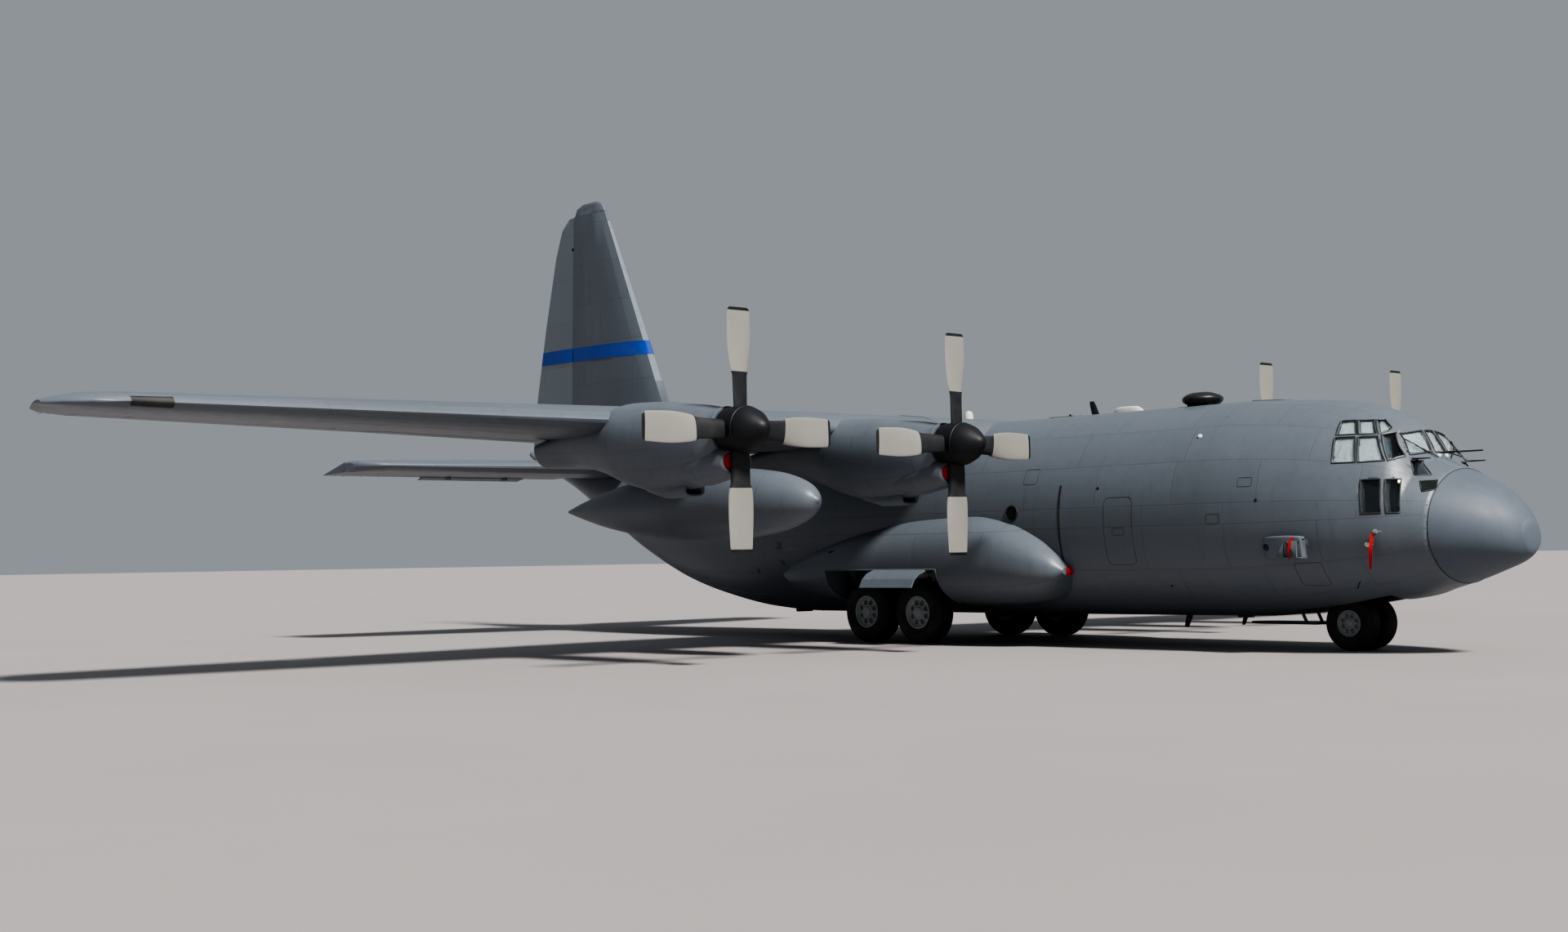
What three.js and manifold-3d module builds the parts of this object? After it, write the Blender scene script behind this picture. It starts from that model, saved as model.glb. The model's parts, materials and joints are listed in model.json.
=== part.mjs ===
// A four-engine turboprop transport aircraft, parked on its landing gear, as a half-size model.
// All sizes below are those of the full-size aircraft, in metres. The group at the end turns them
// into millimetres at half size. Stations run aft from the tip of the nose. In the part's own frame
// +X points to the nose, +Y to the left wing tip and +Z up, with the origin on the ground at mid length.
import * as THREE from "three";
import { mergeVertices } from "three/addons/utils/BufferGeometryUtils.js";
import Module from "manifold-3d";

const wasm = await Module();
wasm.setup();
const { Manifold, Mesh } = wasm;

// Driving dimensions
const MODEL_SCALE = 0.5;
const MILLIMETRES = 1000;
const LENGTH = 29.79;
const HALF_SPAN = 20.2;
const SEAT_GAP = 0.0007; // gap between pieces that are bolted together
const MOVING_GAP = 0.014; // gap round pieces that move
const WALL = 0.12; // skin, frames and lining of the fuselage
const FLOOR_TOP = 1.03;
const LEFT = 1;
const RIGHT = -1;
const SIDES = [
  ["left", LEFT],
  ["right", RIGHT],
];

// Fuselage panel splits and openings, as stations
const RADOME_END = 1.2;
const FLIGHT_DECK_END = 5.3;
const WING_BOX_START = 11.0;
const WING_BOX_END = 16.6;
const RAMP_START = 17.9;
const RAMP_END = 21.1;
const CARGO_DOOR_END = 24.5;
const TAIL_CONE_START = 24.9;

// Wing and engines
const ROOT_CHORD = 4.88;
const TIP_CHORD = 2.48;
const TAPER_START = 5.6;
const QUARTER_CHORD_STATION = 12.62;
const WING_Z = 4.32;
const INNER_ENGINE_Y = 4.94;
const OUTER_ENGINE_Y = 10.17;
const PROPELLER_STATION = 8.62;
const PROPELLER_RADIUS = 2.055;
const SPINNER_END = 8.94;
const INNER_HUB_Z = 3.88;
const OUTER_HUB_Z = 3.98;
const ENGINES = [
  { number: 1, y: OUTER_ENGINE_Y, z: OUTER_HUB_Z },
  { number: 2, y: INNER_ENGINE_Y, z: INNER_HUB_Z },
  { number: 3, y: -INNER_ENGINE_Y, z: INNER_HUB_Z },
  { number: 4, y: -OUTER_ENGINE_Y, z: OUTER_HUB_Z },
];

// Landing gear
const MAIN_WHEEL_STATIONS = { front: 12.22, rear: 13.74 };
const MAIN_WHEEL_Y = 2.17;
const MAIN_TYRE_RADIUS = 0.66;
const MAIN_TYRE_WIDTH = 0.5;
const NOSE_WHEEL_STATION = 3.32;
const NOSE_WHEEL_Y = 0.28;
const NOSE_TYRE_RADIUS = 0.495;
const NOSE_TYRE_WIDTH = 0.33;

const xAt = (station) => LENGTH / 2 - station;

// Materials, in the colours of the parked aircraft
const paint = (color, roughness = 0.55, metalness = 0.1) =>
  new THREE.MeshStandardMaterial({ color, roughness, metalness });
const GREY_PAINT = paint(0x79828a);
const RADOME_PAINT = paint(0x7c858c, 0.45, 0);
const PALE_PAINT = paint(0x9aa1a4);
const DARK_PAINT = paint(0x4b5257);
const BLADE_PAINT = paint(0xb9b8b0, 0.5);
const TYRE_RUBBER = paint(0x17171a, 0.9, 0);
const GLASS = paint(0x9fb4bd, 0.1, 0);
const STEEL = paint(0xd6d8da, 0.35, 0.7);
const DARK_METAL = paint(0x3a3d40, 0.6, 0.6);
const BLACK_PLASTIC = paint(0x1c1e21, 0.5, 0);

// Turns a closed three.js geometry into a solid for cutting and joining.
function solidOf(geometry) {
  const bare = geometry.clone();
  bare.deleteAttribute("normal");
  bare.deleteAttribute("uv");
  const merged = mergeVertices(bare, 1e-6);
  return new Manifold(
    new Mesh({
      numProp: 3,
      vertProperties: new Float32Array(merged.attributes.position.array),
      triVerts: new Uint32Array(merged.index.array),
    }),
  );
}

// Turns a solid back into a geometry.
function geometryOf(solid) {
  const mesh = solid.getMesh();
  const points = new Float32Array(mesh.numVert * 3);
  for (let i = 0; i < mesh.numVert; i++)
    points.set(mesh.vertProperties.subarray(i * mesh.numProp, i * mesh.numProp + 3), i * 3);
  return new THREE.BufferGeometry()
    .setAttribute("position", new THREE.BufferAttribute(points, 3))
    .setIndex(new THREE.BufferAttribute(mesh.triVerts, 1));
}

// A closed skin through sections that have the same number of points. Each point is [x, y, z].
function loft(sections) {
  const count = sections[0].length;
  const points = sections.flat();
  const faces = [];
  for (let s = 0; s + 1 < sections.length; s++)
    for (let i = 0; i < count; i++) {
      const a = s * count + i;
      const b = s * count + ((i + 1) % count);
      faces.push([a, b, b + count], [a, b + count, a + count]);
    }
  for (const [s, turn] of [
    [0, 1],
    [sections.length - 1, -1],
  ])
    for (const [a, b, c] of capFaces(sections[s])) {
      const base = s * count;
      faces.push(turn > 0 ? [base + a, base + c, base + b] : [base + a, base + b, base + c]);
    }
  const volume = faces.reduce((sum, [a, b, c]) => sum + tetrahedron(points[a], points[b], points[c]), 0);
  const outward = volume > 0 ? faces : faces.map(([a, b, c]) => [a, c, b]);
  return solidOf(
    new THREE.BufferGeometry()
      .setAttribute("position", new THREE.BufferAttribute(new Float32Array(points.flat()), 3))
      .setIndex(outward.flat()),
  );
}

function tetrahedron(a, b, c) {
  return new THREE.Vector3(...a).dot(new THREE.Vector3(...b).cross(new THREE.Vector3(...c)));
}

// Triangles over one flat section, wound the way its points run.
function capFaces(section) {
  const vectors = section.map((p) => new THREE.Vector3(...p));
  const normal = new THREE.Vector3();
  vectors.forEach((p, i) => normal.add(p.clone().cross(vectors[(i + 1) % vectors.length])));
  const size = normal.toArray().map(Math.abs);
  const dropped = size.indexOf(Math.max(...size));
  const [u, v] = [
    ["y", "z"],
    ["z", "x"],
    ["x", "y"],
  ][dropped];
  const flat = vectors.map((p) => new THREE.Vector2(p[u], p[v]));
  const turned = THREE.ShapeUtils.isClockWise(flat);
  return THREE.ShapeUtils.triangulateShape(flat, []).map(([a, b, c]) => {
    const area = flat[b].clone().sub(flat[a]).cross(flat[c].clone().sub(flat[a]));
    return area > 0 === !turned ? [a, b, c] : [a, c, b];
  });
}

// A box between two stations, two widths and two heights.
function block([from, to], [y0, y1], [z0, z1]) {
  const box = new THREE.BoxGeometry(to - from, y1 - y0, z1 - z0);
  box.translate(xAt((from + to) / 2), (y0 + y1) / 2, (z0 + z1) / 2);
  return solidOf(box);
}

// A cylinder or cone whose ends are given as [x, y, z].
function rod(start, end, radius, endRadius = radius, sides = 12) {
  const from = new THREE.Vector3(...start);
  const along = new THREE.Vector3(...end).sub(from);
  const body = new THREE.CylinderGeometry(endRadius, radius, along.length(), sides);
  body.translate(0, along.length() / 2, 0);
  body.applyQuaternion(
    new THREE.Quaternion().setFromUnitVectors(new THREE.Vector3(0, 1, 0), along.clone().normalize()),
  );
  body.translate(from.x, from.y, from.z);
  return solidOf(body);
}

// Hole that a round pin of the given radius turns in
const PIN_SIDES = 16;
const RUNNING_GAP = 0.0005;
const holeFor = (radius) => (radius + RUNNING_GAP) / Math.cos(Math.PI / PIN_SIDES);
const pin = (start, end, radius) => rod(start, end, radius, radius, PIN_SIDES);

// A flat outline in the side view, [station, z] each, pushed through from one y to another.
const sidePrism = (outline, y0, y1) =>
  loft([y0, y1].map((y) => outline.map(([station, z]) => [xAt(station), y, z])));

// A flat outline in the front view, [y, z] each, pushed through from one station to another.
const frontPrism = (outline, from, to) =>
  loft([from, to].map((station) => outline.map(([y, z]) => [xAt(station), y, z])));

// A flat outline in the top view, [station, y] each, pushed through from one height to another.
const topPrism = (outline, z0, z1) =>
  loft([z0, z1].map((z) => outline.map(([station, y]) => [xAt(station), y, z])));

const joined = (solids) => solids.reduce((all, one) => all.add(one));
const mirrored = (solid) => solid.mirror([0, 1, 0]);
const sided = (solid, side) => (side === LEFT ? solid : mirrored(solid));

// Fuselage skin. Columns: station, top z, bottom z, half width, z of the widest place,
// and how square the lower half is: 2 is round.
const HULL_COLUMNS = ["station", "top", "bottom", "half", "middle", "square"];
const HULL = [
  [0.0, 2.08, 1.84, 0.12, 1.96, 2],
  [0.06, 2.3, 1.7, 0.33, 1.98, 2],
  [0.25, 2.58, 1.56, 0.61, 2.02, 2],
  [0.6, 2.88, 1.42, 0.94, 2.08, 2],
  [1.2, 3.19, 1.21, 1.33, 2.17, 2.05],
  [1.62, 3.39, 1.09, 1.52, 2.23, 2.1],
  [1.95, 3.93, 0.98, 1.66, 2.26, 2.12],
  [2.4, 4.22, 0.91, 1.79, 2.3, 2.15],
  [2.9, 4.41, 0.82, 1.92, 2.36, 2.2],
  [3.5, 4.53, 0.74, 2.03, 2.42, 2.25],
  [4.4, 4.61, 0.65, 2.13, 2.47, 2.3],
  [5.3, 4.66, 0.6, 2.17, 2.49, 2.35],
  [17.4, 4.66, 0.58, 2.17, 2.49, 2.35],
  [18.6, 4.66, 0.66, 2.15, 2.52, 2.5],
  [19.9, 4.66, 0.9, 2.1, 2.6, 2.7],
  [21.1, 4.66, 1.22, 2.0, 2.75, 2.8],
  [22.7, 4.66, 1.88, 1.8, 3.0, 2.8],
  [24.9, 4.66, 2.98, 1.4, 3.6, 2.6],
  [26.6, 4.68, 3.72, 1.02, 4.1, 2.3],
  [28.2, 4.74, 4.24, 0.6, 4.45, 2],
  [29.3, 4.86, 4.58, 0.25, 4.72, 2],
  [LENGTH, 4.95, 4.79, 0.08, 4.87, 2],
].map((row) => Object.fromEntries(HULL_COLUMNS.map((name, i) => [name, row[i]])));
const HULL_SIDES = 32;
const LINING_SIDES = 16;

function hullSection(row, inset) {
  const power = (value, exponent) => Math.sign(value) * Math.abs(value) ** exponent;
  const sides = inset > 0 ? LINING_SIDES : HULL_SIDES;
  return Array.from({ length: sides }, (_, i) => {
    const angle = (2 * Math.PI * i) / sides;
    const up = Math.sin(angle) >= 0;
    const exponent = up ? 1 : 2 / row.square;
    const height = (up ? row.top - row.middle : row.middle - row.bottom) - inset;
    return [
      xAt(row.station),
      (row.half - inset) * power(Math.cos(angle), exponent),
      row.middle + height * power(Math.sin(angle), exponent),
    ];
  });
}

const hull = (inset, from = 0, to = LENGTH) =>
  loft(HULL.filter((row) => row.station >= from && row.station <= to).map((row) => hullSection(row, inset)));
const outerHull = hull(0);
const clearOfHull = hull(-SEAT_GAP);
const HOLLOW = [1.62, 28.2]; // stations that the fuselage's hollow runs between
const innerHull = hull(WALL, ...HOLLOW);
const insideHull = hull(WALL + SEAT_GAP, ...HOLLOW);
const hullShell = outerHull.subtract(innerHull);
const EVERY_Y = [-4, 4];
const EVERY_Z = [-1, 13];

const hullBetween = (from, to, solid = hullShell) =>
  solid.intersect(block([from + SEAT_GAP, to - SEAT_GAP], EVERY_Y, EVERY_Z));

// Windows of the flight deck. Side panes are [station, z] corners, front panes are [y, z] corners.
const SIDE_WINDOWS = [
  [[2.96, 4.08], [2.75, 4.08], [2.59, 3.83], [2.9, 3.83]],
  [[2.71, 4.08], [2.51, 4.08], [2.32, 3.83], [2.55, 3.83]],
  [[2.47, 4.08], [2.37, 4.08], [2.19, 3.93], [2.2, 3.86], [2.28, 3.83]],
  [[2.9, 3.77], [2.59, 3.77], [2.43, 3.33], [2.79, 3.33]],
  [[2.54, 3.77], [2.27, 3.77], [2.0, 3.34], [2.38, 3.33]],
  [[2.22, 3.79], [2.08, 3.83], [1.8, 3.41], [1.95, 3.34]],
  [[2.27, 3.0], [1.97, 3.0], [1.9, 2.44], [2.2, 2.44]],
  [[1.9, 3.0], [1.71, 3.0], [1.62, 2.44], [1.81, 2.44]],
];
const FRONT_WINDOWS = [
  [[-0.17, 3.5], [0.17, 3.5], [0.13, 3.88], [-0.13, 3.88]],
  [[0.28, 3.5], [0.86, 3.44], [0.73, 3.81], [0.22, 3.88]],
  [[-0.86, 3.44], [-0.28, 3.5], [-0.22, 3.88], [-0.73, 3.81]],
  [[0.84, 3.08], [1.01, 3.08], [0.9, 3.32], [0.64, 3.33]],
  [[-1.01, 3.08], [-0.84, 3.08], [-0.64, 3.33], [-0.9, 3.32]],
];
const WINDOW_FRONT = 1.3;
const WINDOW_BACK = 2.6;

function windowCuts() {
  const sides = SIDE_WINDOWS.map((outline) => sidePrism(outline, 0.4, 3));
  const fronts = FRONT_WINDOWS.map((outline) => frontPrism(outline, WINDOW_FRONT, WINDOW_BACK));
  return joined([...sides, ...sides.map(mirrored), ...fronts]);
}

// Nose wheel bay, main wheel bays, doors
const NOSE_BAY = { stations: [2.3, 4.25], half: 0.68, top: 1.75 };
const BAY_LINING = 0.05;
const CREW_DOOR = { stations: [4.02, 4.92], z: [1.01, 2.62] };
const PARATROOP_DOOR = { stations: [16.72, 17.66], z: [FLOOR_TOP + 0.04, 2.92] };
const MAIN_BAY = { stations: [11.3, 14.66], inner: 1.56, outer: 2.62, top: 1.96 };
const DOOR_GAP = MOVING_GAP;

const noseBay = (grow) =>
  block(
    [NOSE_BAY.stations[0] - grow, NOSE_BAY.stations[1] + grow],
    [-NOSE_BAY.half - grow, NOSE_BAY.half + grow],
    [0.2, NOSE_BAY.top + grow],
  );

const mainBay = (grow, outer) =>
  block(
    [MAIN_BAY.stations[0] - grow, MAIN_BAY.stations[1] + grow],
    [MAIN_BAY.inner - grow, outer],
    [0.2, MAIN_BAY.top + grow],
  );

const doorBlock = (door, grow, side) =>
  sided(
    block(
      [door.stations[0] - grow, door.stations[1] + grow],
      [0.6, 3],
      [door.z[0] - grow, door.z[1] + grow],
    ),
    side,
  );

// The ramp and the cargo door close the underside of the tail. Each is cut from the skin.
const RAMP_HALF = 1.5;
const CARGO_DOOR_REAR_GAP = 0.035;
const RAMP_DOOR_GAP = 0.08; // lets the cargo door's front edge swing up past the ramp
const CARGO_DOOR_HALF = { front: 1.3, rear: 0.8 };
const rampOutline = (grow) => [
  [RAMP_START - grow, -RAMP_HALF - grow],
  [RAMP_END + grow, -RAMP_HALF - grow],
  [RAMP_END + grow, RAMP_HALF + grow],
  [RAMP_START - grow, RAMP_HALF + grow],
];
const cargoDoorOutline = (grow, rearGap) => [
  [RAMP_END + RAMP_DOOR_GAP - grow, -CARGO_DOOR_HALF.front - grow],
  [CARGO_DOOR_END + rearGap, -CARGO_DOOR_HALF.rear - grow],
  [CARGO_DOOR_END + rearGap, CARGO_DOOR_HALF.rear + grow],
  [RAMP_END + RAMP_DOOR_GAP - grow, CARGO_DOOR_HALF.front + grow],
];
const SILL_Z = 3.4; // above the underside and below the roof, all along the tail

// Door hinges. Each knuckle on a door turns between two on the fuselage, all on the hinge line,
// and each side is cut back round the other's knuckles.
const KNUCKLE = { radius: 0.05, half: 0.12 };
function doorHinge({ at, along, places }) {
  const { radius, half } = KNUCKLE;
  const stretch = (from, to, thick) => {
    const end = (distance) => at.map((value, i) => value + along[i] * distance);
    return rod(end(from), end(to), thick);
  };
  const wide = radius + MOVING_GAP;
  return {
    moving: joined(places.map((place) => stretch(place - half, place + half, radius))),
    movingRoom: joined(
      places.map((place) => stretch(place - half - SEAT_GAP, place + half + SEAT_GAP, wide)),
    ),
    fixed: joined(
      places.flatMap((place) => [
        stretch(place - 2 * half, place - half - SEAT_GAP, radius),
        stretch(place + half + SEAT_GAP, place + 2 * half, radius),
      ]),
    ),
    fixedRoom: joined(
      places.flatMap((place) => [
        stretch(place - 2 * half - MOVING_GAP, place - half, wide),
        stretch(place + half, place + 2 * half + MOVING_GAP, wide),
      ]),
    ),
  };
}
const CREW_DOOR_HINGE = doorHinge({ at: [xAt(4.62), 1.42, 0.965], along: [1, 0, 0], places: [0] });
const RAMP_HINGE = doorHinge({ at: [xAt(17.893), 0, 0.615], along: [0, 1, 0], places: [-0.4, 0.4] });
const CARGO_DOOR_HINGE = doorHinge({ at: [xAt(24.515), 0, 2.93], along: [0, 1, 0], places: [-0.5, 0.5] });

const hungDoor = (door, { moving, fixedRoom }) => door.subtract(fixedRoom).add(moving);
const doorFrame = (shell, { fixed, movingRoom }) => shell.subtract(movingRoom).add(fixed);

const ramp = () => hungDoor(hullShell.intersect(topPrism(rampOutline(0), -0.5, SILL_Z - 0.9)), RAMP_HINGE);
const cargoDoor = () =>
  hungDoor(hullShell.intersect(topPrism(cargoDoorOutline(0, 0), -0.5, SILL_Z)), CARGO_DOOR_HINGE);
const crewDoor = () => hungDoor(hullShell.intersect(doorBlock(CREW_DOOR, 0, LEFT)), CREW_DOOR_HINGE);
const paratroopDoor = (side) => hullShell.intersect(doorBlock(PARATROOP_DOOR, 0, side));

function flightDeckShell() {
  const lining = noseBay(BAY_LINING).subtract(noseBay(0)).intersect(insideNoseBayHull);
  const shell = hullBetween(RADOME_END, FLIGHT_DECK_END)
    .add(lining)
    .subtract(noseBay(0))
    .subtract(windowCuts())
    .subtract(doorBlock(CREW_DOOR, DOOR_GAP, LEFT));
  return doorFrame(shell, CREW_DOOR_HINGE);
}
const insideNoseBayHull = hull(WALL / 2);

// Air inlet on each side of the nose, as a shallow scoop that faces forward
const SCOOP = { stations: [3.2, 3.85], z: [1.66, 2.02], out: 0.14, rim: 0.04, depth: 0.3 };
const SCOOP_SKIN_Y = 2.06; // the skin's half width there
function scoop(side) {
  const { stations, z, out, rim, depth } = SCOOP;
  const body = loft([
    [stations[0], out],
    [stations[1], 0.02],
  ].map(([station, proud]) => [
    [xAt(station), SCOOP_SKIN_Y - depth, z[0]],
    [xAt(station), SCOOP_SKIN_Y + proud, z[0] + rim],
    [xAt(station), SCOOP_SKIN_Y + proud, z[1] - rim],
    [xAt(station), SCOOP_SKIN_Y - depth, z[1]],
  ]));
  const mouth = block(
    [stations[0] - depth, stations[0] + depth],
    [SCOOP_SKIN_Y - rim, SCOOP_SKIN_Y + out - rim],
    [z[0] + rim, z[1] - rim],
  );
  return sided(body.subtract(mouth).subtract(insideNoseBayHull), side);
}

// Flat pads that jacks lift the aircraft by
const JACK_PAD = { half: 0.11, thick: 0.2 };
const jackPad = ({ station, y, z }) =>
  block(
    [station - JACK_PAD.half, station + JACK_PAD.half],
    [y - JACK_PAD.half, y + JACK_PAD.half],
    [z, z + JACK_PAD.thick],
  );
const NOSE_JACK = { station: 5.8, y: 0, z: 0.56 };
const WING_JACK = { station: 10.6, y: 2.05, z: 0.77 };

function forwardShell() {
  const pad = jackPad(NOSE_JACK).intersect(block([5, 7], EVERY_Y, [0, 0.66]));
  return hullBetween(FLIGHT_DECK_END, WING_BOX_START).add(pad);
}

function centreShell() {
  const lining = SIDES.map(([, side]) =>
    sided(mainBay(BAY_LINING, 2.1).subtract(mainBay(0, 3)), side).intersect(insideNoseBayHull),
  );
  const bays = SIDES.map(([, side]) => sided(mainBay(0, 3), side));
  return hullBetween(WING_BOX_START, WING_BOX_END)
    .add(joined(lining))
    .subtract(joined(bays));
}

function aftShell() {
  const openings = [
    topPrism(rampOutline(DOOR_GAP), -0.5, SILL_Z - 0.9),
    topPrism(cargoDoorOutline(DOOR_GAP, CARGO_DOOR_REAR_GAP), -0.5, SILL_Z),
    ...SIDES.map(([, side]) => doorBlock(PARATROOP_DOOR, SEAT_GAP, side)),
  ];
  const shell = hullBetween(WING_BOX_END, TAIL_CONE_START)
    .subtract(joined(openings))
    .subtract(clearOfTailplane());
  return doorFrame(doorFrame(shell, RAMP_HINGE), CARGO_DOOR_HINGE);
}

// Floors, bulkhead, instrument panel and seats
const FLIGHT_FLOOR_TOP = 2.06;
function cargoFloor() {
  const slab = block([FLIGHT_DECK_END + 0.2, RAMP_START - 0.05], [-1.5, 1.5], [FLOOR_TOP - 0.14, FLOOR_TOP]);
  const keels = [-0.9, 0, 0.9].map((y) =>
    block([FLIGHT_DECK_END + 0.2, RAMP_START - 0.05], [y - 0.06, y + 0.06], [0.5, FLOOR_TOP - 0.05]),
  );
  return joined([slab, ...keels]).intersect(insideHull);
}

function flightDeck() {
  const floor = block([1.75, FLIGHT_DECK_END + 0.1], [-2.2, 2.2], [FLIGHT_FLOOR_TOP - 0.1, FLIGHT_FLOOR_TOP]);
  const bulkhead = block([FLIGHT_DECK_END + 0.02, FLIGHT_DECK_END + 0.1], [-2.2, 2.2], [0.4, 4.7]);
  const doorway = block([FLIGHT_DECK_END - 0.1, FLIGHT_DECK_END + 0.2], [-0.35, 0.35], [1.1, 1.9]);
  const panel = block([1.86, 2.1], [-1.1, 1.1], [2.55, 3.12]);
  const pedestal = block([1.9, 2.7], [-0.25, 0.25], [FLIGHT_FLOOR_TOP - 0.05, 2.75]);
  const seats = [0.62, -0.62].map((y) =>
    joined([
      block([2.8, 3.0], [y - 0.1, y + 0.1], [FLIGHT_FLOOR_TOP - 0.05, 2.5]),
      block([2.65, 3.15], [y - 0.26, y + 0.26], [2.45, 2.6]),
      block([3.07, 3.2], [y - 0.26, y + 0.26], [2.55, 3.35]),
    ]),
  );
  const crewStairwell = block([3.98, 4.96], [0.9, 2.3], [1.9, 2.7]);
  return joined([floor, bulkhead, panel, pedestal, ...seats])
    .subtract(doorway)
    .subtract(crewStairwell)
    .intersect(insideHull);
}

// The panes are one band of glass that lies against the lining, behind the window openings.
const PANE = 0.03;
function glazing() {
  const outer = hull(WALL + SEAT_GAP, HOLLOW[0], FLIGHT_DECK_END);
  const inner = hull(WALL + PANE, HOLLOW[0], FLIGHT_DECK_END);
  const band = joined([
    block([1.66, 3.05], EVERY_Y, [3.22, 4.2]),
    block([1.66, 2.36], EVERY_Y, [2.34, 3.3]),
  ]);
  return outer.subtract(inner).intersect(band);
}

// Wing sections. Each point is [share of chord aft, share of chord up] on a cambered profile.
const PROFILE_STEPS = [0, 0.012, 0.05, 0.12, 0.25, 0.4, 0.55, 0.7];
const halfThickness = (x) =>
  5 * (0.2969 * Math.sqrt(x) - 0.126 * x - 0.3516 * x * x + 0.2843 * x ** 3 - 0.1015 * x ** 4);
const camber = (x) => 0.09 * x * (1 - x);

// Heights over and under the chord line at x, for a wing of the given thickness share.
const upperAt = (x, thickness) => camber(x) + thickness * halfThickness(x);
const lowerAt = (x, thickness) => camber(x) - thickness * halfThickness(x);

function outlineOver(thickness, steps, extra) {
  const upper = steps.map((x) => [x, upperAt(x, thickness)]);
  const lower = steps.slice(1).map((x) => [x, lowerAt(x, thickness)]);
  return [...lower.reverse(), ...upper, ...extra];
}

// Places profile points at a spanwise place on the wing.
function wingPlace(y, points) {
  const taper = Math.max(0, (Math.abs(y) - TAPER_START) / (HALF_SPAN - TAPER_START));
  const chord = ROOT_CHORD - (ROOT_CHORD - TIP_CHORD) * taper;
  const incidence = THREE.MathUtils.degToRad(2.2 - 1.4 * taper);
  const leading = QUARTER_CHORD_STATION - chord / 4;
  return points.map(([along, up]) => [
    xAt(leading + chord * (along * Math.cos(incidence) + up * Math.sin(incidence))),
    y,
    WING_Z + chord * (up * Math.cos(incidence) - along * Math.sin(incidence)),
  ]);
}
const wingThickness = (y) => 0.175 - 0.055 * Math.min(1, Math.abs(y) / HALF_SPAN);

// Flaps run aft and down from under the wing's rear edge. Shares of the chord:
const FLAP_NOSE = 0.74;
const WING_LIP = 0.86;
const LIP_THICKNESS = 0.006;
const FLAP_SPANS = { inner: [2.32, TAPER_START - 0.03], outer: [TAPER_START + 0.03, 13.6] };
const AILERON_SPAN = [13.68, 19.2];
const FLAP_GAP = 0.0045;
const FLAP_SEAT = 0.00016; // upper skin of a raised flap lies this close under the wing's lip

const wingFrontPoints = (y) =>
  outlineOver(wingThickness(y), PROFILE_STEPS, [
    [WING_LIP, upperAt(WING_LIP, wingThickness(y))],
    [WING_LIP, upperAt(WING_LIP, wingThickness(y)) - LIP_THICKNESS],
    [FLAP_NOSE - 0.015, upperAt(FLAP_NOSE, wingThickness(y)) - 3 * LIP_THICKNESS],
    [FLAP_NOSE - 0.015, lowerAt(FLAP_NOSE - 0.015, wingThickness(y))],
  ]);

function flapPoints(y) {
  const t = wingThickness(y);
  return [
    [FLAP_NOSE + 0.006, lowerAt(FLAP_NOSE, t) + 0.012],
    [FLAP_NOSE + 0.03, lowerAt(FLAP_NOSE + 0.03, t)],
    [1, camber(1) - 0.0015],
    [1, camber(1) + 0.0015],
    [WING_LIP + 0.03, upperAt(WING_LIP + 0.03, t) - 0.001],
    [WING_LIP, upperAt(WING_LIP, t) - LIP_THICKNESS - FLAP_SEAT],
    [FLAP_NOSE + 0.04, upperAt(FLAP_NOSE + 0.04, t) - 3 * LIP_THICKNESS - FLAP_GAP],
    [FLAP_NOSE + 0.006, lowerAt(FLAP_NOSE, t) + 0.03],
  ];
}

// A control surface turns about its own round nose, in a hollow in the piece ahead of it.
// The nose is a circle that fills the profile's height at the hinge. Positions are shares of the chord.
const NOSE_STEPS = 6;
const LIP_ANGLE = 130;
function hingeCircle(hinge, thickness, curve) {
  return { centre: [hinge, curve(hinge)], radius: thickness * halfThickness(hinge) };
}

// Points of an arc that runs over the front of a circle, from the given angle above to the same below.
function frontArc({ centre, radius }, angle) {
  return Array.from({ length: NOSE_STEPS + 1 }, (_, i) => {
    const turn = THREE.MathUtils.degToRad(angle + ((360 - 2 * angle) * i) / NOSE_STEPS);
    return [centre[0] + radius * Math.cos(turn), centre[1] + radius * Math.sin(turn)];
  });
}

// Outline of the part that moves, behind its hinge.
function movableEdge(hinge, thickness, curve) {
  return [
    [1, curve(1) + 0.002],
    ...frontArc(hingeCircle(hinge, thickness, curve), 90),
    [1, curve(1) - 0.002],
  ];
}

// Rear end of the part ahead of the hinge, from its upper lip to its lower one.
function cove(hinge, thickness, curve, gap) {
  const { centre, radius } = hingeCircle(hinge, thickness, curve);
  const arc = frontArc({ centre, radius: radius + gap }, LIP_ANGLE);
  const edge = arc[0][0];
  return [
    [edge, curve(edge) + thickness * halfThickness(edge)],
    ...arc,
    [edge, curve(edge) - thickness * halfThickness(edge)],
  ];
}

const AILERON_HINGE = 0.75;
function aileronCovePoints(y, gap) {
  const t = wingThickness(y);
  return [
    ...PROFILE_STEPS.slice(1).map((x) => [x, lowerAt(x, t)]).reverse(),
    ...PROFILE_STEPS.map((x) => [x, upperAt(x, t)]),
    ...cove(AILERON_HINGE, t, camber, gap),
  ];
}

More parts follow.
